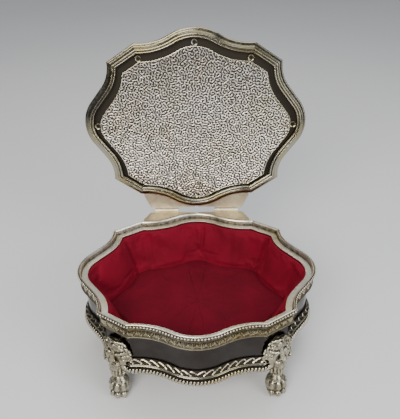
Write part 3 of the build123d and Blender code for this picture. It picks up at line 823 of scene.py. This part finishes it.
def make_lid():
    ring(
        "lid_rim",
        soften(
            [
                (-0.3, 0.05), (0.3, 0.7), (0.3, 2.3), (-0.5, FRAME_TOP), (WEB_INNER, FRAME_TOP),
                (WEB_INNER, WEB_Z), (-19.0, WEB_Z), (-10.8, WEB_Z), (-7.2, WEB_Z),
                (-7.2, -2.4), (-7.0, -3.1), (-6.5, -3.4),
                (-5.9, -3.25), (-5.5, -2.6), (-5.1, -2.6), (-4.8, -3.25), (-4.2, -3.3), (-3.6, -2.9),
                (-3.2, -1.4), (-2.9, -1.0), (-2.4, -0.8), (-2.35, 0.05),
            ],
            0.3,
        ),
        ["lid_frame"],
        ANTIQUED_AND_SHADED,
        body="lid",
        shade=lid_shade,
    )
    make_panel()
    mirrored = [(-x, y) for x, y in EYELETS if x]
    lathe(
        "eyelets",
        list(EYELETS) + mirrored,
        [
            (2.6, 0.72), (2.6, 0.3), (2.4, 0.13), (2.1, 0.16), (1.8, 0.42), (1.3, 0.55), (1.0, 0.65),
            (1.0, 3.62), (2.05, 3.62), (2.05, 3.3), (1.5, 3.2), (1.5, 0.74),
        ],
        ["lid_eyelets"],
        ANTIQUED_AND_SHADED,
        body="lid",
        # Painted shade: each eyelet's dished centre and bore are dark and its crest bright.
        wear=np.tile(np.repeat([0.3, 0.9, 1.0, 0.9, 0.2, 0.1, 0.0, 0.0, 1.0, 1.0, 0.5, 0.5], 28), 8),
    )
    bead_string(
        "lid_beads", -0.9, FRAME_TOP + 0.8, (0.98, 0.68, 0.72), 2.15, ["lid_bead_row"], BORDER,
        body="lid", finish="antique_border",
    )
    make_cover()


def make_cover():
    """The cover: a stepped edge, a band of raised scrolls and a plain cartouche at the centre."""
    edge = [
        (-1.5, 3.25), (-1.6, 4.6), (-1.9, 5.3), (-3.0, 5.9), (-4.3, 6.2), (-4.9, 6.5),
        (-5.6, 7.9), (-6.7, 9.3), (-7.6, 10.2),
    ]
    step = 0.7
    dome = [(10.2, 1.0), (12.8, 0.82), (14.6, 0.6), (15.5, 0.36), (15.8, 0.16), (15.85, 0.02)]
    heights, sizes = np.array(dome).T
    fine = np.linspace(1.0, 0.02, 90)
    reach = (84.0, 68.0)
    picture = scrollwork(*reach, 0.4, spacing=8.5, size=3.4, line=1.15, seed=5)
    base = outline(edge[-1][0], step)
    outer = [np.column_stack([outline(grow, step), np.full(len(base), z)]) for grow, z in edge[:-1]]
    wear = [np.full(len(base), 0.7) for _ in outer]
    for size in fine:
        flat = base * size
        relief = look_up(picture, *reach, 0.4, flat[:, 0], flat[:, 1])
        band = np.clip((size - 0.50) / 0.04, 0, 1) * np.clip((0.95 - size) / 0.04, 0, 1)
        bead = 0.9 * np.exp(-(((size - 0.48) / 0.012) ** 2)) + 0.7 * np.exp(-(((size - 0.965) / 0.012) ** 2))
        z = np.interp(-size, -sizes, heights) + 0.85 * relief * band + bead
        outer.append(np.column_stack([flat, z]))
        # Painted shade: the ground between the raised scrolls comes out dark, partly tarnish in the hollows, partly
        # painted shade.
        wear.append(np.clip(relief * band + (1 - band) * 0.7, 0, 1))
    inner = [
        np.column_stack([base * (size - 0.014), np.full(len(base), np.interp(-size, -sizes, heights) - 0.9)])
        for size in (0.03, 0.3, 0.6, 0.8, 1.0)
    ]
    under = [(-8.4, 8.4), (-5.8, 5.4), (-3.0, 4.4), (-2.7, 3.25)]
    inner += [np.column_stack([outline(grow, step), np.full(len(base), z)]) for grow, z in under]
    points, faces = skin(inner + outer)
    wear = np.concatenate([np.full(len(base), 0.7)] * len(inner) + wear + [np.full(2, 0.7)])
    piece("lid_dome", points, faces, ["lid_cover"], DOME, body="lid", wear=wear)


DOME = plate("dome_plate", bright=(0.80, 0.77, 0.71), rough=(0.16, 0.34), recess_tarnish_and_shade=0.5)
make_lid()


# ---- the legs ------------------------------------------------------------------------------
class Clay:
    """A block of distance values that shapes are blended into or carved out of."""

    def __init__(self, lowest, highest, step):
        self.low, self.step = np.array(lowest, float), step
        self.axes = [np.arange(a, b, step, dtype=np.float32) for a, b in zip(lowest, highest)]
        self.field = np.full([len(axis) for axis in self.axes], 6.0, np.float32)

    def grid(self, centre, reach):
        """The block's cells within reach of centre, and their coordinates."""
        spans = []
        for axis, middle, far in zip(self.axes, centre, np.broadcast_to(reach, 3)):
            spans.append(slice(*np.searchsorted(axis, [middle - far, middle + far])))
        x, y, z = (axis[span] for axis, span in zip(self.axes, spans))
        return tuple(spans), (x[:, None, None], y[None, :, None], z[None, None, :])

    def merge(self, spans, distance, blend, carve):
        old = self.field[spans]
        sign = -1 if carve else 1
        near = np.clip(0.5 + 0.5 * (sign * old - distance) / blend, 0, 1)
        merged = sign * old * (1 - near) + distance * near - blend * near * (1 - near)
        self.field[spans] = sign * merged

    def ball(self, centre, radii, blend=0.7, carve=False, turn=0.0):
        """An ellipsoid, turned about the upright axis."""
        spans, (x, y, z) = self.grid(centre, max(radii) + 2.5)
        x, y, z = x - centre[0], y - centre[1], z - centre[2]
        x, y = x * cos(turn) - y * sin(turn), x * sin(turn) + y * cos(turn)
        near = np.sqrt((x / radii[0]) ** 2 + (y / radii[1]) ** 2 + (z / radii[2]) ** 2)
        slope = np.sqrt((x / radii[0] ** 2) ** 2 + (y / radii[1] ** 2) ** 2 + (z / radii[2] ** 2) ** 2)
        self.merge(spans, near * (near - 1) / np.maximum(slope, 1e-4), blend, carve)

    def rope(self, points, thick, thin, blend=0.5, carve=False):
        """A tapering strand through points."""
        points = np.array(points, float)
        radii = np.linspace(thick, thin, len(points))
        for a, b, ra, rb in zip(points, points[1:], radii, radii[1:]):
            spans, (x, y, z) = self.grid((a + b) / 2, np.abs(b - a) / 2 + ra + 2.5)
            way = b - a
            along = ((x - a[0]) * way[0] + (y - a[1]) * way[1] + (z - a[2]) * way[2]) / (way @ way)
            along = np.clip(along, 0, 1)
            gap = np.sqrt(
                (x - a[0] - along * way[0]) ** 2 + (y - a[1] - along * way[1]) ** 2 + (z - a[2] - along * way[2]) ** 2
            )
            self.merge(spans, gap - (ra + (rb - ra) * along), blend, carve)

    def block(self, lowest, highest, blend=0.3, carve=False):
        """A box."""
        lowest, highest = np.array(lowest, float), np.array(highest, float)
        spans, axes = self.grid((lowest + highest) / 2, (highest - lowest) / 2 + 2.5)
        sides = [np.abs(axis - (a + b) / 2) - (b - a) / 2 for axis, a, b in zip(axes, lowest, highest)]
        self.merge(spans, np.maximum(np.maximum(*sides[:2]), sides[2]), blend, carve)

    def net(self):
        """The surface as points and quads, and how far each point stands proud of its surroundings."""
        total = np.zeros((*np.array(self.field.shape) - 1, 3))
        hits = np.zeros(total.shape[:3])
        crossings = []
        for axis in range(3):
            first = np.moveaxis(self.field, axis, 0)[:-1]
            second = np.moveaxis(self.field, axis, 0)[1:]
            first, second = np.moveaxis(first, 0, axis), np.moveaxis(second, 0, axis)
            crossed = (first < 0) != (second < 0)
            cells = np.argwhere(crossed)
            place = cells.astype(float)
            place[:, axis] += first[crossed] / (first[crossed] - second[crossed])
            others = [k for k in range(3) if k != axis]
            corners = []
            for steps in ((0, 0), (1, 0), (1, 1), (0, 1)):
                cell = cells.copy()
                cell[:, others] -= steps
                np.add.at(total, tuple(cell.T), place)
                np.add.at(hits, tuple(cell.T), 1)
                corners.append(cell)
            flip = (first[crossed] < 0) == (axis == 1)
            crossings.append((corners, flip))
        number = np.full(hits.shape, -1)
        number[hits > 0] = np.arange((hits > 0).sum())
        points = total[hits > 0] / hits[hits > 0][:, None]
        quads = []
        for corners, flip in crossings:
            quad = np.stack([number[tuple(cell.T)] for cell in corners], 1)
            quad[flip] = quad[flip][:, ::-1]
            quads.append(quad)
        soft = np.clip(self.field, -2, 2)
        for _ in range(5):
            for axis in range(3):
                soft = (np.roll(soft, 1, axis) + soft + np.roll(soft, -1, axis)) / 3
        cell = np.round(points).astype(int)
        return self.low + points * self.step, np.concatenate(quads), soft[tuple(cell.T)]


def mirrored(shape, points, *sizes, **more):
    """The same shape on the left and on the right."""
    for side in (-1, 1):
        shape(np.array(points, float) * [side, 1, 1], *sizes, **more)


def sculpt_face(clay):
    """A lion's mask in low relief: a forelock curl, heavy brows, a broad nose and an open mouth."""
    clay.ball((0, -3.4, 39.0), (9.4, 5.0, 14.0))
    clay.ball((0, -1.6, 46.6), (5.8, 3.5, 4.4), 1.2)
    mirrored(clay.ball, (5.6, -1.0, 36.6), (3.0, 3.0, 4.6), 1.0)
    mirrored(clay.ball, (3.7, 1.4, 41.4), (2.4, 1.7, 1.5), 0.5, carve=True)
    mirrored(clay.ball, (3.6, -0.1, 41.3), (1.35, 1.3, 1.15), 0.25)
    mirrored(clay.rope, [(1.9, 0.9, 41.0), (3.6, 1.0, 40.0), (5.4, 0.2, 40.8)], 0.55, 0.45, 0.3)
    mirrored(clay.rope, [(0.6, 2.0, 43.0), (3.2, 2.1, 44.0), (6.9, -0.8, 43.0)], 1.15, 0.9, 0.5)
    clay.rope([(0, 1.2, 45.6), (0, 2.3, 42), (0, 3.1, 38.4)], 1.3, 1.8, 0.8)
    clay.ball((0, 3.2, 37.9), (2.6, 1.5, 1.35), 0.6)
    mirrored(clay.ball, (1.3, 4.1, 37.2), (0.75, 1.0, 0.6), 0.25, carve=True)
    mirrored(clay.ball, (2.5, 1.5, 34.5), (3.0, 2.7, 2.2), 0.5)
    clay.rope([(-3.4, 2.6, 36.5), (0, 4.2, 36.0), (3.4, 2.6, 36.5)], 0.45, 0.45, 0.3, carve=True)
    clay.rope([(0, 4.4, 36.2), (0, 4.4, 33.4)], 0.4, 0.4, 0.3, carve=True)
    clay.ball((0, 1.2, 28.2), (3.3, 3.0, 2.3), 0.7)
    clay.rope([(-3.4, 1.4, 30.6), (0, 3.4, 29.4), (3.4, 1.4, 30.6)], 0.8, 0.8, 0.4)
    clay.ball((0, 2.6, 31.6), (3.7, 3.0, 1.15), 0.3, carve=True)
    for row, z in enumerate((35.2, 34.2)):
        for x in (1.6, 2.7, 3.8):
            mirrored(clay.ball, (x + 0.3 * row, 4.1 - 0.35 * x, z), (0.3, 0.6, 0.3), 0.15, carve=True)


MANE_Z, MANE_UP, MANE_DOWN = 39.0, 13.8, 15.6  # the mane's centre, and how far it reaches up and down


def sculpt_mane(clay):
    """Locks all round the face in three layers, each a strand that curls over at its tip."""
    rng = np.random.default_rng(3)
    layers = ((0.80, 1.0, -3.5, 1.5), (0.66, 0.88, -2.1, 1.4), (0.56, 0.74, -0.9, 1.15))
    for layer, (start, reach, depth, thick) in enumerate(layers):
        count = 11 - layer
        for k in range(count):
            angle = radians(-80 + 162 * (k + 0.5 * (layer % 2)) / (count - 1))
            bend = 0.32 + rng.uniform(-0.1, 0.1)
            strand = []
            for t in (0, 0.35, 0.7, 1.0):
                turn = angle - bend * t**2
                far = start + (reach - start) * t
                tall = MANE_UP if sin(turn) > 0 else MANE_DOWN
                height = depth + 1.1 * sin(pi * min(1.0, t + 0.15))
                strand.append((12.2 * far * cos(turn), height, MANE_Z + tall * far * sin(turn)))
            mirrored(clay.rope, strand, thick, 0.75, 0.28)
            tip = strand[-1]
            mirrored(clay.ball, (tip[0], tip[1] + 0.5, tip[2]), (0.9, 0.85, 0.9), 0.25)
    turn = np.linspace(0.2 * pi, 2.05 * pi, 14)
    coil = [(2.7 * cos(a), -0.6, 50.0 + 2.5 * sin(a)) for a in turn]
    clay.rope(coil, 1.0, 0.7, 0.3)
    clay.ball((0, -0.2, 49.9), (1.25, 1.5, 1.2), 0.3)
    mirrored(clay.rope, [(2.4, -1.2, 52.2), (5.0, -2.4, 51.6), (7.4, -3.4, 49.6)], 1.2, 0.8, 0.3)
    mirrored(clay.ball, (8.4, -2.2, 47.2), (1.9, 1.7, 2.3), 0.4)
    mirrored(clay.ball, (8.5, -0.7, 47.0), (1.0, 0.9, 1.4), 0.3, carve=True)


def sculpt_neck(clay):
    """Beard, neck, the foot plate under the box and a ridged leaf on each side."""
    clay.rope([(0, -1.2, 31), (0, -2.0, 25), (0, -2.2, 19.5)], 4.7, 3.2, 0.8)
    clay.rope([(0, -2.2, 19.5), (0, -1.2, 15)], 3.2, 4.6, 0.8)
    for x, low in ((0.0, 20.8), (1.9, 21.2), (3.8, 22.2), (5.6, 23.8)):
        out = 2.9 - 0.10 * x * x
        strand = [(x * 0.9, out - 0.8, 28.8), (x * 1.15, out + 0.6, 25.4), (x * 0.85, out + 0.5, low)]
        mirrored(clay.rope, strand, 1.2, 0.7, 0.25)
    for angle in range(-80, 81, 20):
        side = radians(angle)
        turns = ((3.7, 22.0), (3.3, 19.0), (4.3, 16.0))
        groove = [(r * sin(side), -2.1 + r * cos(side), z) for r, z in turns]
        clay.rope(groove, 0.4, 0.3, 0.35, carve=True)
    for k in range(4):
        low_end = (5.2 + 1.1 * k, 0.0, 27.2 + 0.7 * k)
        ridge = [(5.0 + 1.5 * k, -0.1, 33.6 - 0.9 * k), (6.2 + 1.3 * k, 0.5, 30.6), low_end]
        mirrored(clay.rope, ridge, 0.95, 0.6, 0.25)
    foot = BEADS_Z - 3.2
    clay.block((-5.5, -16.0, foot), (5.5, -0.4, BEADS_Z - 0.03))


def sculpt_paw(clay):
    """A round paw that stands forward of the ankle, with two rows of four toes and small claws."""
    base = np.array([0, PAW_OUT, 0])
    clay.ball((0, PAW_OUT - 0.2, 9.3), (7.5, 7.0, 9.2), 1.6)
    clay.ball((0, PAW_OUT, 3.4), (6.6, 6.5, 3.9), 0.8)
    for angle in (-63, -21, 21, 63):
        side = radians(angle)
        way = np.array([sin(side), cos(side), 0])
        knuckle = [base + way * out + [0, 0, up] for out, up in ((3.6, 15.2), (5.6, 12.6), (6.2, 10.0))]
        clay.rope(knuckle, 1.4, 2.3, 0.45)
        clay.ball(base + way * 5.8 + [0, 0, 3.9], (2.7, 2.7, 2.9), 0.3)
        claw = [base + way * 7.9 + [0, 0, 3.6], base + way * 7.4 + [0, 0, 1.4]]
        clay.rope(claw, 0.9, 0.6, 0.5)
    around = [(8.9 * sin(radians(a)), PAW_OUT + 8.9 * cos(radians(a)), 7.0) for a in range(-105, 106, 10)]
    clay.rope(around, 1.0, 1.0, 0.35, carve=True)
    for angle in (-84, -42, 0, 42, 84):
        side = radians(angle)
        ends = ((6.2, 13.9), (8.4, 11.2), (9.0, 8.2), (8.9, 3.6))
        groove = [(r * sin(side), PAW_OUT + r * cos(side), z) for r, z in ends]
        clay.rope(groove, 0.5, 0.95, 0.35, carve=True)


def trim_leg(clay):
    """Cuts away what the box and the floor take up, and the screw's hole."""
    under, top = BEADS_Z - 0.03, FRIEZE_FOOT - 0.03
    clay.block((-30, -30, under), (30, -4.95, 70), 0.05, carve=True)
    clay.block((-30, -30, under), (30, -0.12, FRIEZE_Z), 0.05, carve=True)
    clay.block((-5.5, -16.0, BEADS_Z - 1), (5.5, -5.0, top), 0.05)
    clay.block((-30, -30, -9), (30, 30, 0), 0.05, carve=True)
    x, y, z = (axis.reshape(shape) for axis, shape in zip(clay.axes, ((-1, 1, 1), (1, -1, 1), (1, 1, -1))))
    gap = np.hypot(x, y + 10.5)
    bore = gap - np.where(z < BEADS_Z - 1.7, 2.9, 1.6)
    clay.field = np.maximum(clay.field, -bore)


def make_legs():
    step = 0.36
    clay = Clay((-15.5, -17.0, -0.8), (15.5, 13.0, 56.5), step)
    sculpt_face(clay)
    sculpt_mane(clay)
    sculpt_neck(clay)
    sculpt_paw(clay)
    trim_leg(clay)
    points, faces, height = clay.net()
    points[:, 2] = np.maximum(points[:, 2], 0.0)
    # Painted shade: the casting's recesses come out dark and its raised parts bright, partly tarnish in the hollows,
    # partly painted shade.
    wear = np.clip(0.30 + height * 1.4, 0, 1)
    corners = (("front_left", -1, -1), ("front_right", 1, -1), ("rear_left", -1, 1), ("rear_right", 1, 1))
    for name, side, depth in corners:
        flat = CORNER_MIDDLE + points[:, :1] * ALONG * -1 + points[:, 1:2] * OUT
        placed = np.column_stack([flat * [side, depth], points[:, 2]])
        piece(
            f"lion_leg_{name}", placed, faces, [f"leg_{name}"], CASTING,
            finish="antique_casting", crease=65, wear=wear,
        )


make_legs()


# ---- the lining ----------------------------------------------------------------------------
def simulate(obj, pins, frames, cap, **settings):
    """Runs cloth on a piece with some points pinned; no point moves further than cap, in millimetres."""
    mesh = obj.data
    before = np.empty(len(mesh.vertices) * 3)
    mesh.vertices.foreach_get("co", before)
    pinned = obj.vertex_groups.new(name="pins")
    pinned.add([int(index) for index in pins], 1.0, "ADD")
    cloth = obj.modifiers.new("cloth", "CLOTH")
    cloth.settings.vertex_group_mass = "pins"
    cloth.settings.effector_weights.gravity = 0
    cloth.settings.quality = 4
    for name, value in settings.items():
        setattr(cloth.settings, name, value)
    for number in range(1, frames + 1):
        bpy.context.scene.frame_set(number)
    after = np.empty(len(before))
    posed = obj.evaluated_get(bpy.context.evaluated_depsgraph_get())
    posed.data.vertices.foreach_get("co", after)
    obj.modifiers.remove(cloth)
    obj.vertex_groups.clear()
    bpy.context.scene.frame_set(1)
    move = (after - before).reshape(-1, 3)
    length = np.linalg.norm(move, axis=1)[:, None]
    move *= np.minimum(1.0, cap * MM / np.maximum(length, 1e-9))
    mesh.vertices.foreach_set("co", before + move.ravel())
    mesh.update()


def bake(obj, smooth=1, thickness=0.0):
    """Applies a subdivision and a thickness, outwards from the shown side, to a piece's mesh."""
    levels = obj.modifiers.new("smooth", "SUBSURF")
    levels.levels = levels.render_levels = smooth
    if thickness:
        solid = obj.modifiers.new("thickness", "SOLIDIFY")
        solid.thickness = thickness * MM
        solid.offset = -1
    made = bpy.data.meshes.new_from_object(obj.evaluated_get(bpy.context.evaluated_depsgraph_get()))
    obj.modifiers.clear()
    old = obj.data
    obj.data = made
    bpy.data.meshes.remove(old)
    made.name = obj.name


WALL_FACE = (
    (-7.9, 67.35), (-8.5, 66.9), (-9.0, 65.6), (-13.2, 54.5), (-17.2, 44.0), (-18.9, 40.2), (-19.8, 38.0),
    (-20.1, 36.9), (-20.6, 35.6), (-21.6, 34.5),
)
# A crease in the wall: plan x and y, depth, half width and how far down it runs, from 0 to 1.
CREASES = (
    (-45.9, 61.3, 1.3, 1.3, 1.0),
    (45.9, 61.3, 0.7, 2.2, 0.8),
    (-67.2, 47.2, 0.7, 1.8, 1.0),
    (67.2, 47.2, 1.7, 1.7, 1.0),
    (-67.2, -47.2, 1.2, 2.0, 1.0),
    (67.2, -47.2, 1.3, 2.0, 1.0),
    (-45.9, -61.3, 0.9, 1.6, 1.0),
    (45.9, -61.3, 0.9, 1.6, 1.0),
    (6.5, 73.2, 1.1, 1.5, 0.55),
    (33.0, 66.0, 0.7, 2.4, 0.5),
    (84.0, 12.0, 0.9, 3.0, 0.9),
    (-82.0, -20.0, 0.8, 2.6, 0.9),
    (-15.0, -72.0, 0.6, 2.4, 0.7),
)


def around_plan(flat):
    """Distance along a closed outline, and its whole length."""
    sides = np.linalg.norm(np.roll(flat, -1, axis=0) - flat, axis=1)
    return np.concatenate([[0], np.cumsum(sides)[:-1]]), sides.sum()


def make_wall():
    """The velvet stretched round the wall: creased at the corners and eased by the cloth solver."""
    step = 1.6
    levels = 24
    profile = np.array(WALL_FACE)
    fall = np.concatenate([[0], np.cumsum(np.linalg.norm(np.diff(profile, axis=0), axis=1))])
    at = np.linspace(0, fall[-1], levels)
    grow, z = np.interp(at, fall, profile[:, 0]), np.interp(at, fall, profile[:, 1])
    base = outline(-12.0, step)
    place, whole = around_plan(base)
    phase = place / whole * 2 * pi
    rings = []
    for level in range(levels):
        down = at[level] / fall[-1]
        inward = np.zeros(len(base))
        for x, y, depth, width, run in CREASES:
            nearest = np.argmin(np.hypot(*(base * 1.16 - [x, y]).T))
            gap = (place - place[nearest] + whole / 2) % whole - whole / 2
            fade = np.clip((run + 0.12 - down) / 0.2, 0, 1) * np.clip((down - 0.02) / 0.12, 0, 1)
            shoulders = np.exp(-(((np.abs(gap) - 2.2 * width) / (1.5 * width)) ** 2))
            fold = 0.75 * shoulders - np.exp(-((gap / width) ** 2))
            inward += depth * fade * fold
        swell = 0.35 * np.sin(7 * phase + 1.3 + 2 * down) + 0.25 * np.sin(13 * phase + 5 * down)
        inward += swell * sin(pi * min(1.0, down * 1.2)) * (down < 0.84)
        edge = np.clip((0.93 - down) / 0.1, 0, 1)
        flat = outline(grow[level], step)
        flat = flat - mitre(grow[level], step) * (np.clip(inward, -1.3, 1.5) * edge)[:, None]
        rings.append(np.column_stack([flat, np.full(len(flat), z[level])]))
    points, faces = skin(rings, closed=True)
    quads = faces[0][: (levels - 1) * len(base)]
    inward_facing = quads[:, ::-1]
    wall = piece(
        "velvet_wall", points, [inward_facing], ["lining_wall"], WALL_VELVET, finish="velvet", crease=180
    )
    mesh = wall.data
    facing = mesh.polygons[len(base) * 10].normal
    if facing.dot(mesh.polygons[len(base) * 10].center) > 0:
        mesh.flip_normals()
    count = len(base)
    pins = list(range(2 * count)) + list(range((levels - 4) * count, levels * count))
    simulate(
        wall, pins, 12, 0.8, mass=0.2, tension_stiffness=25, compression_stiffness=25,
        bending_stiffness=0.4, shrink_min=-0.035, air_damping=3.0,
    )
    bake(wall, 1, 0.7)
    length = around_plan(outline(-8.5, step))[1] * MM
    return wall


def make_pad():
    """The floor's pad: flat beneath, crowned on top, with a few shallow wrinkles."""
    step = 1.6
    edge = outline(-20.3, step)
    along = np.arctan2(edge[:, 1] / 51, edge[:, 0] / 66)
    oval = np.column_stack([66 * np.cos(along), 51 * np.sin(along)])
    rings = [np.column_stack([oval * size, np.full(len(edge), PAD_Z)]) for size in (0.03, 0.5, 0.85)]
    sides = ((-23.2, 0.1), (-22.6, 0.5), (-21.2, 1.2), (-20.5, 1.9))
    for grow, rise in sides:
        rings.append(np.column_stack([outline(grow, step), np.full(len(edge), PAD_Z + rise)]))
    for size in 1 - np.linspace(0.0, 0.985, 42):
        smooth = min(1.0, (1 - size) * 3.5)
        flat = (edge * (1 - smooth) + oval * smooth) * size
        crown = PAD_TOP - 0.9 * exp(-(1 - size) / 0.03) + 0.75 * (1 - size**2)
        x, y = flat.T
        wave = 0.18 * np.sin(x / 9 + 1.7 * np.sin(y / 13)) + 0.14 * np.sin(y / 7 - x / 17 + 0.6)
        rings.append(np.column_stack([flat, crown + wave * min(1.0, (1 - size) * 8)]))
    points, faces = skin(rings)
    pad = piece(
        "velvet_floor_pad", points, faces, ["lining_floor_pad"], PAD_VELVET, finish="velvet", crease=180
    )
    held = np.flatnonzero(points[:, 2] < PAD_Z + 2.2)
    simulate(
        pad, held, 8, 0.6, mass=0.3, tension_stiffness=20, compression_stiffness=20,
        bending_stiffness=1.0, use_pressure=True, uniform_pressure_force=1.5, shrink_min=-0.01,
    )


make_wall()
make_pad()


# ---- the stage -----------------------------------------------------------------------------
def make_floor():
    mesh = bpy.data.meshes.new("floor")
    mesh.from_pydata([(-4, -4, 0), (4, -4, 0), (4, 4, 0), (-4, 4, 0)], [], [(0, 1, 2, 3)])
    material, tree, bsdf = new_material("pale_floor")
    tree.links.new(ramp(tree, noise(tree, 2.0, 3), (0.3, 0.66), (0.7, 0.70)), bsdf.inputs["Base Color"])
    bsdf.inputs["Roughness"].default_value = 0.7
    mesh.materials.append(material)
    floor = bpy.data.objects.new("floor", mesh)
    bpy.context.scene.collection.objects.link(floor)


def make_light(name, place, size, power, colour=(1, 1, 1), aim=(0, 0, 0.08)):
    lamp = bpy.data.lights.new(name, "AREA")
    lamp.shape = "RECTANGLE"
    lamp.size, lamp.size_y = size
    lamp.energy = power
    lamp.color = colour
    obj = bpy.data.objects.new(name, lamp)
    obj.location = place
    toward = np.array(aim) - place
    obj.rotation_euler = (
        atan2(hypot(toward[0], toward[1]), -toward[2]), 0, atan2(toward[1], toward[0]) - pi / 2
    )
    bpy.context.scene.collection.objects.link(obj)


def make_camera():
    """The camera looks down at the box from the front, level but for a slight roll."""
    sensor, long_side, focal_px = 36.0, 419, 538.5
    camera = bpy.data.cameras.new("camera")
    camera.lens = focal_px / long_side * sensor
    camera.clip_start = 0.01
    obj = bpy.data.objects.new("camera", camera)
    pitch, roll = radians(33.1), -0.011
    place = Matrix.Translation((0.00296, CENTRE[1] * MM - 0.3136, 0.3279))
    obj.matrix_world = place @ Matrix.Rotation(pi / 2 - pitch, 4, "X") @ Matrix.Rotation(roll, 4, "Z")
    bpy.context.scene.collection.objects.link(obj)
    bpy.context.scene.camera = obj


def make_world():
    """A soft room: dim at eye level and brighter overhead."""
    world = bpy.data.worlds.new("studio")
    world.use_nodes = True
    tree = world.node_tree
    way = node(tree, "SeparateXYZ", {0: node(tree, "TexCoord").outputs["Generated"]}).outputs["Z"]
    low_glow, high_glow = (0.12, 0.125, 0.135), (0.55, 0.57, 0.6)
    glow = ramp(tree, way, (0.0, (0.05, 0.05, 0.055)), (0.35, low_glow), (0.85, high_glow))
    tree.links.new(glow, tree.nodes["Background"].inputs["Color"])
    tree.nodes["Background"].inputs["Strength"].default_value = 0.9
    bpy.context.scene.world = world


make_floor()
make_world()
make_light("key", (-0.3, -0.85, 0.75), (0.6, 0.5), 12, (1.0, 0.97, 0.92))
make_light("fill", (0.65, -0.55, 0.45), (0.5, 0.7), 5, (0.92, 0.96, 1.0))
make_light("top", (0.05, 0.25, 0.95), (0.8, 0.5), 4.5)
make_light("front", (-0.03, -1.5, 0.20), (0.16, 0.10), 1.6, (1.0, 0.98, 0.94))
make_camera()
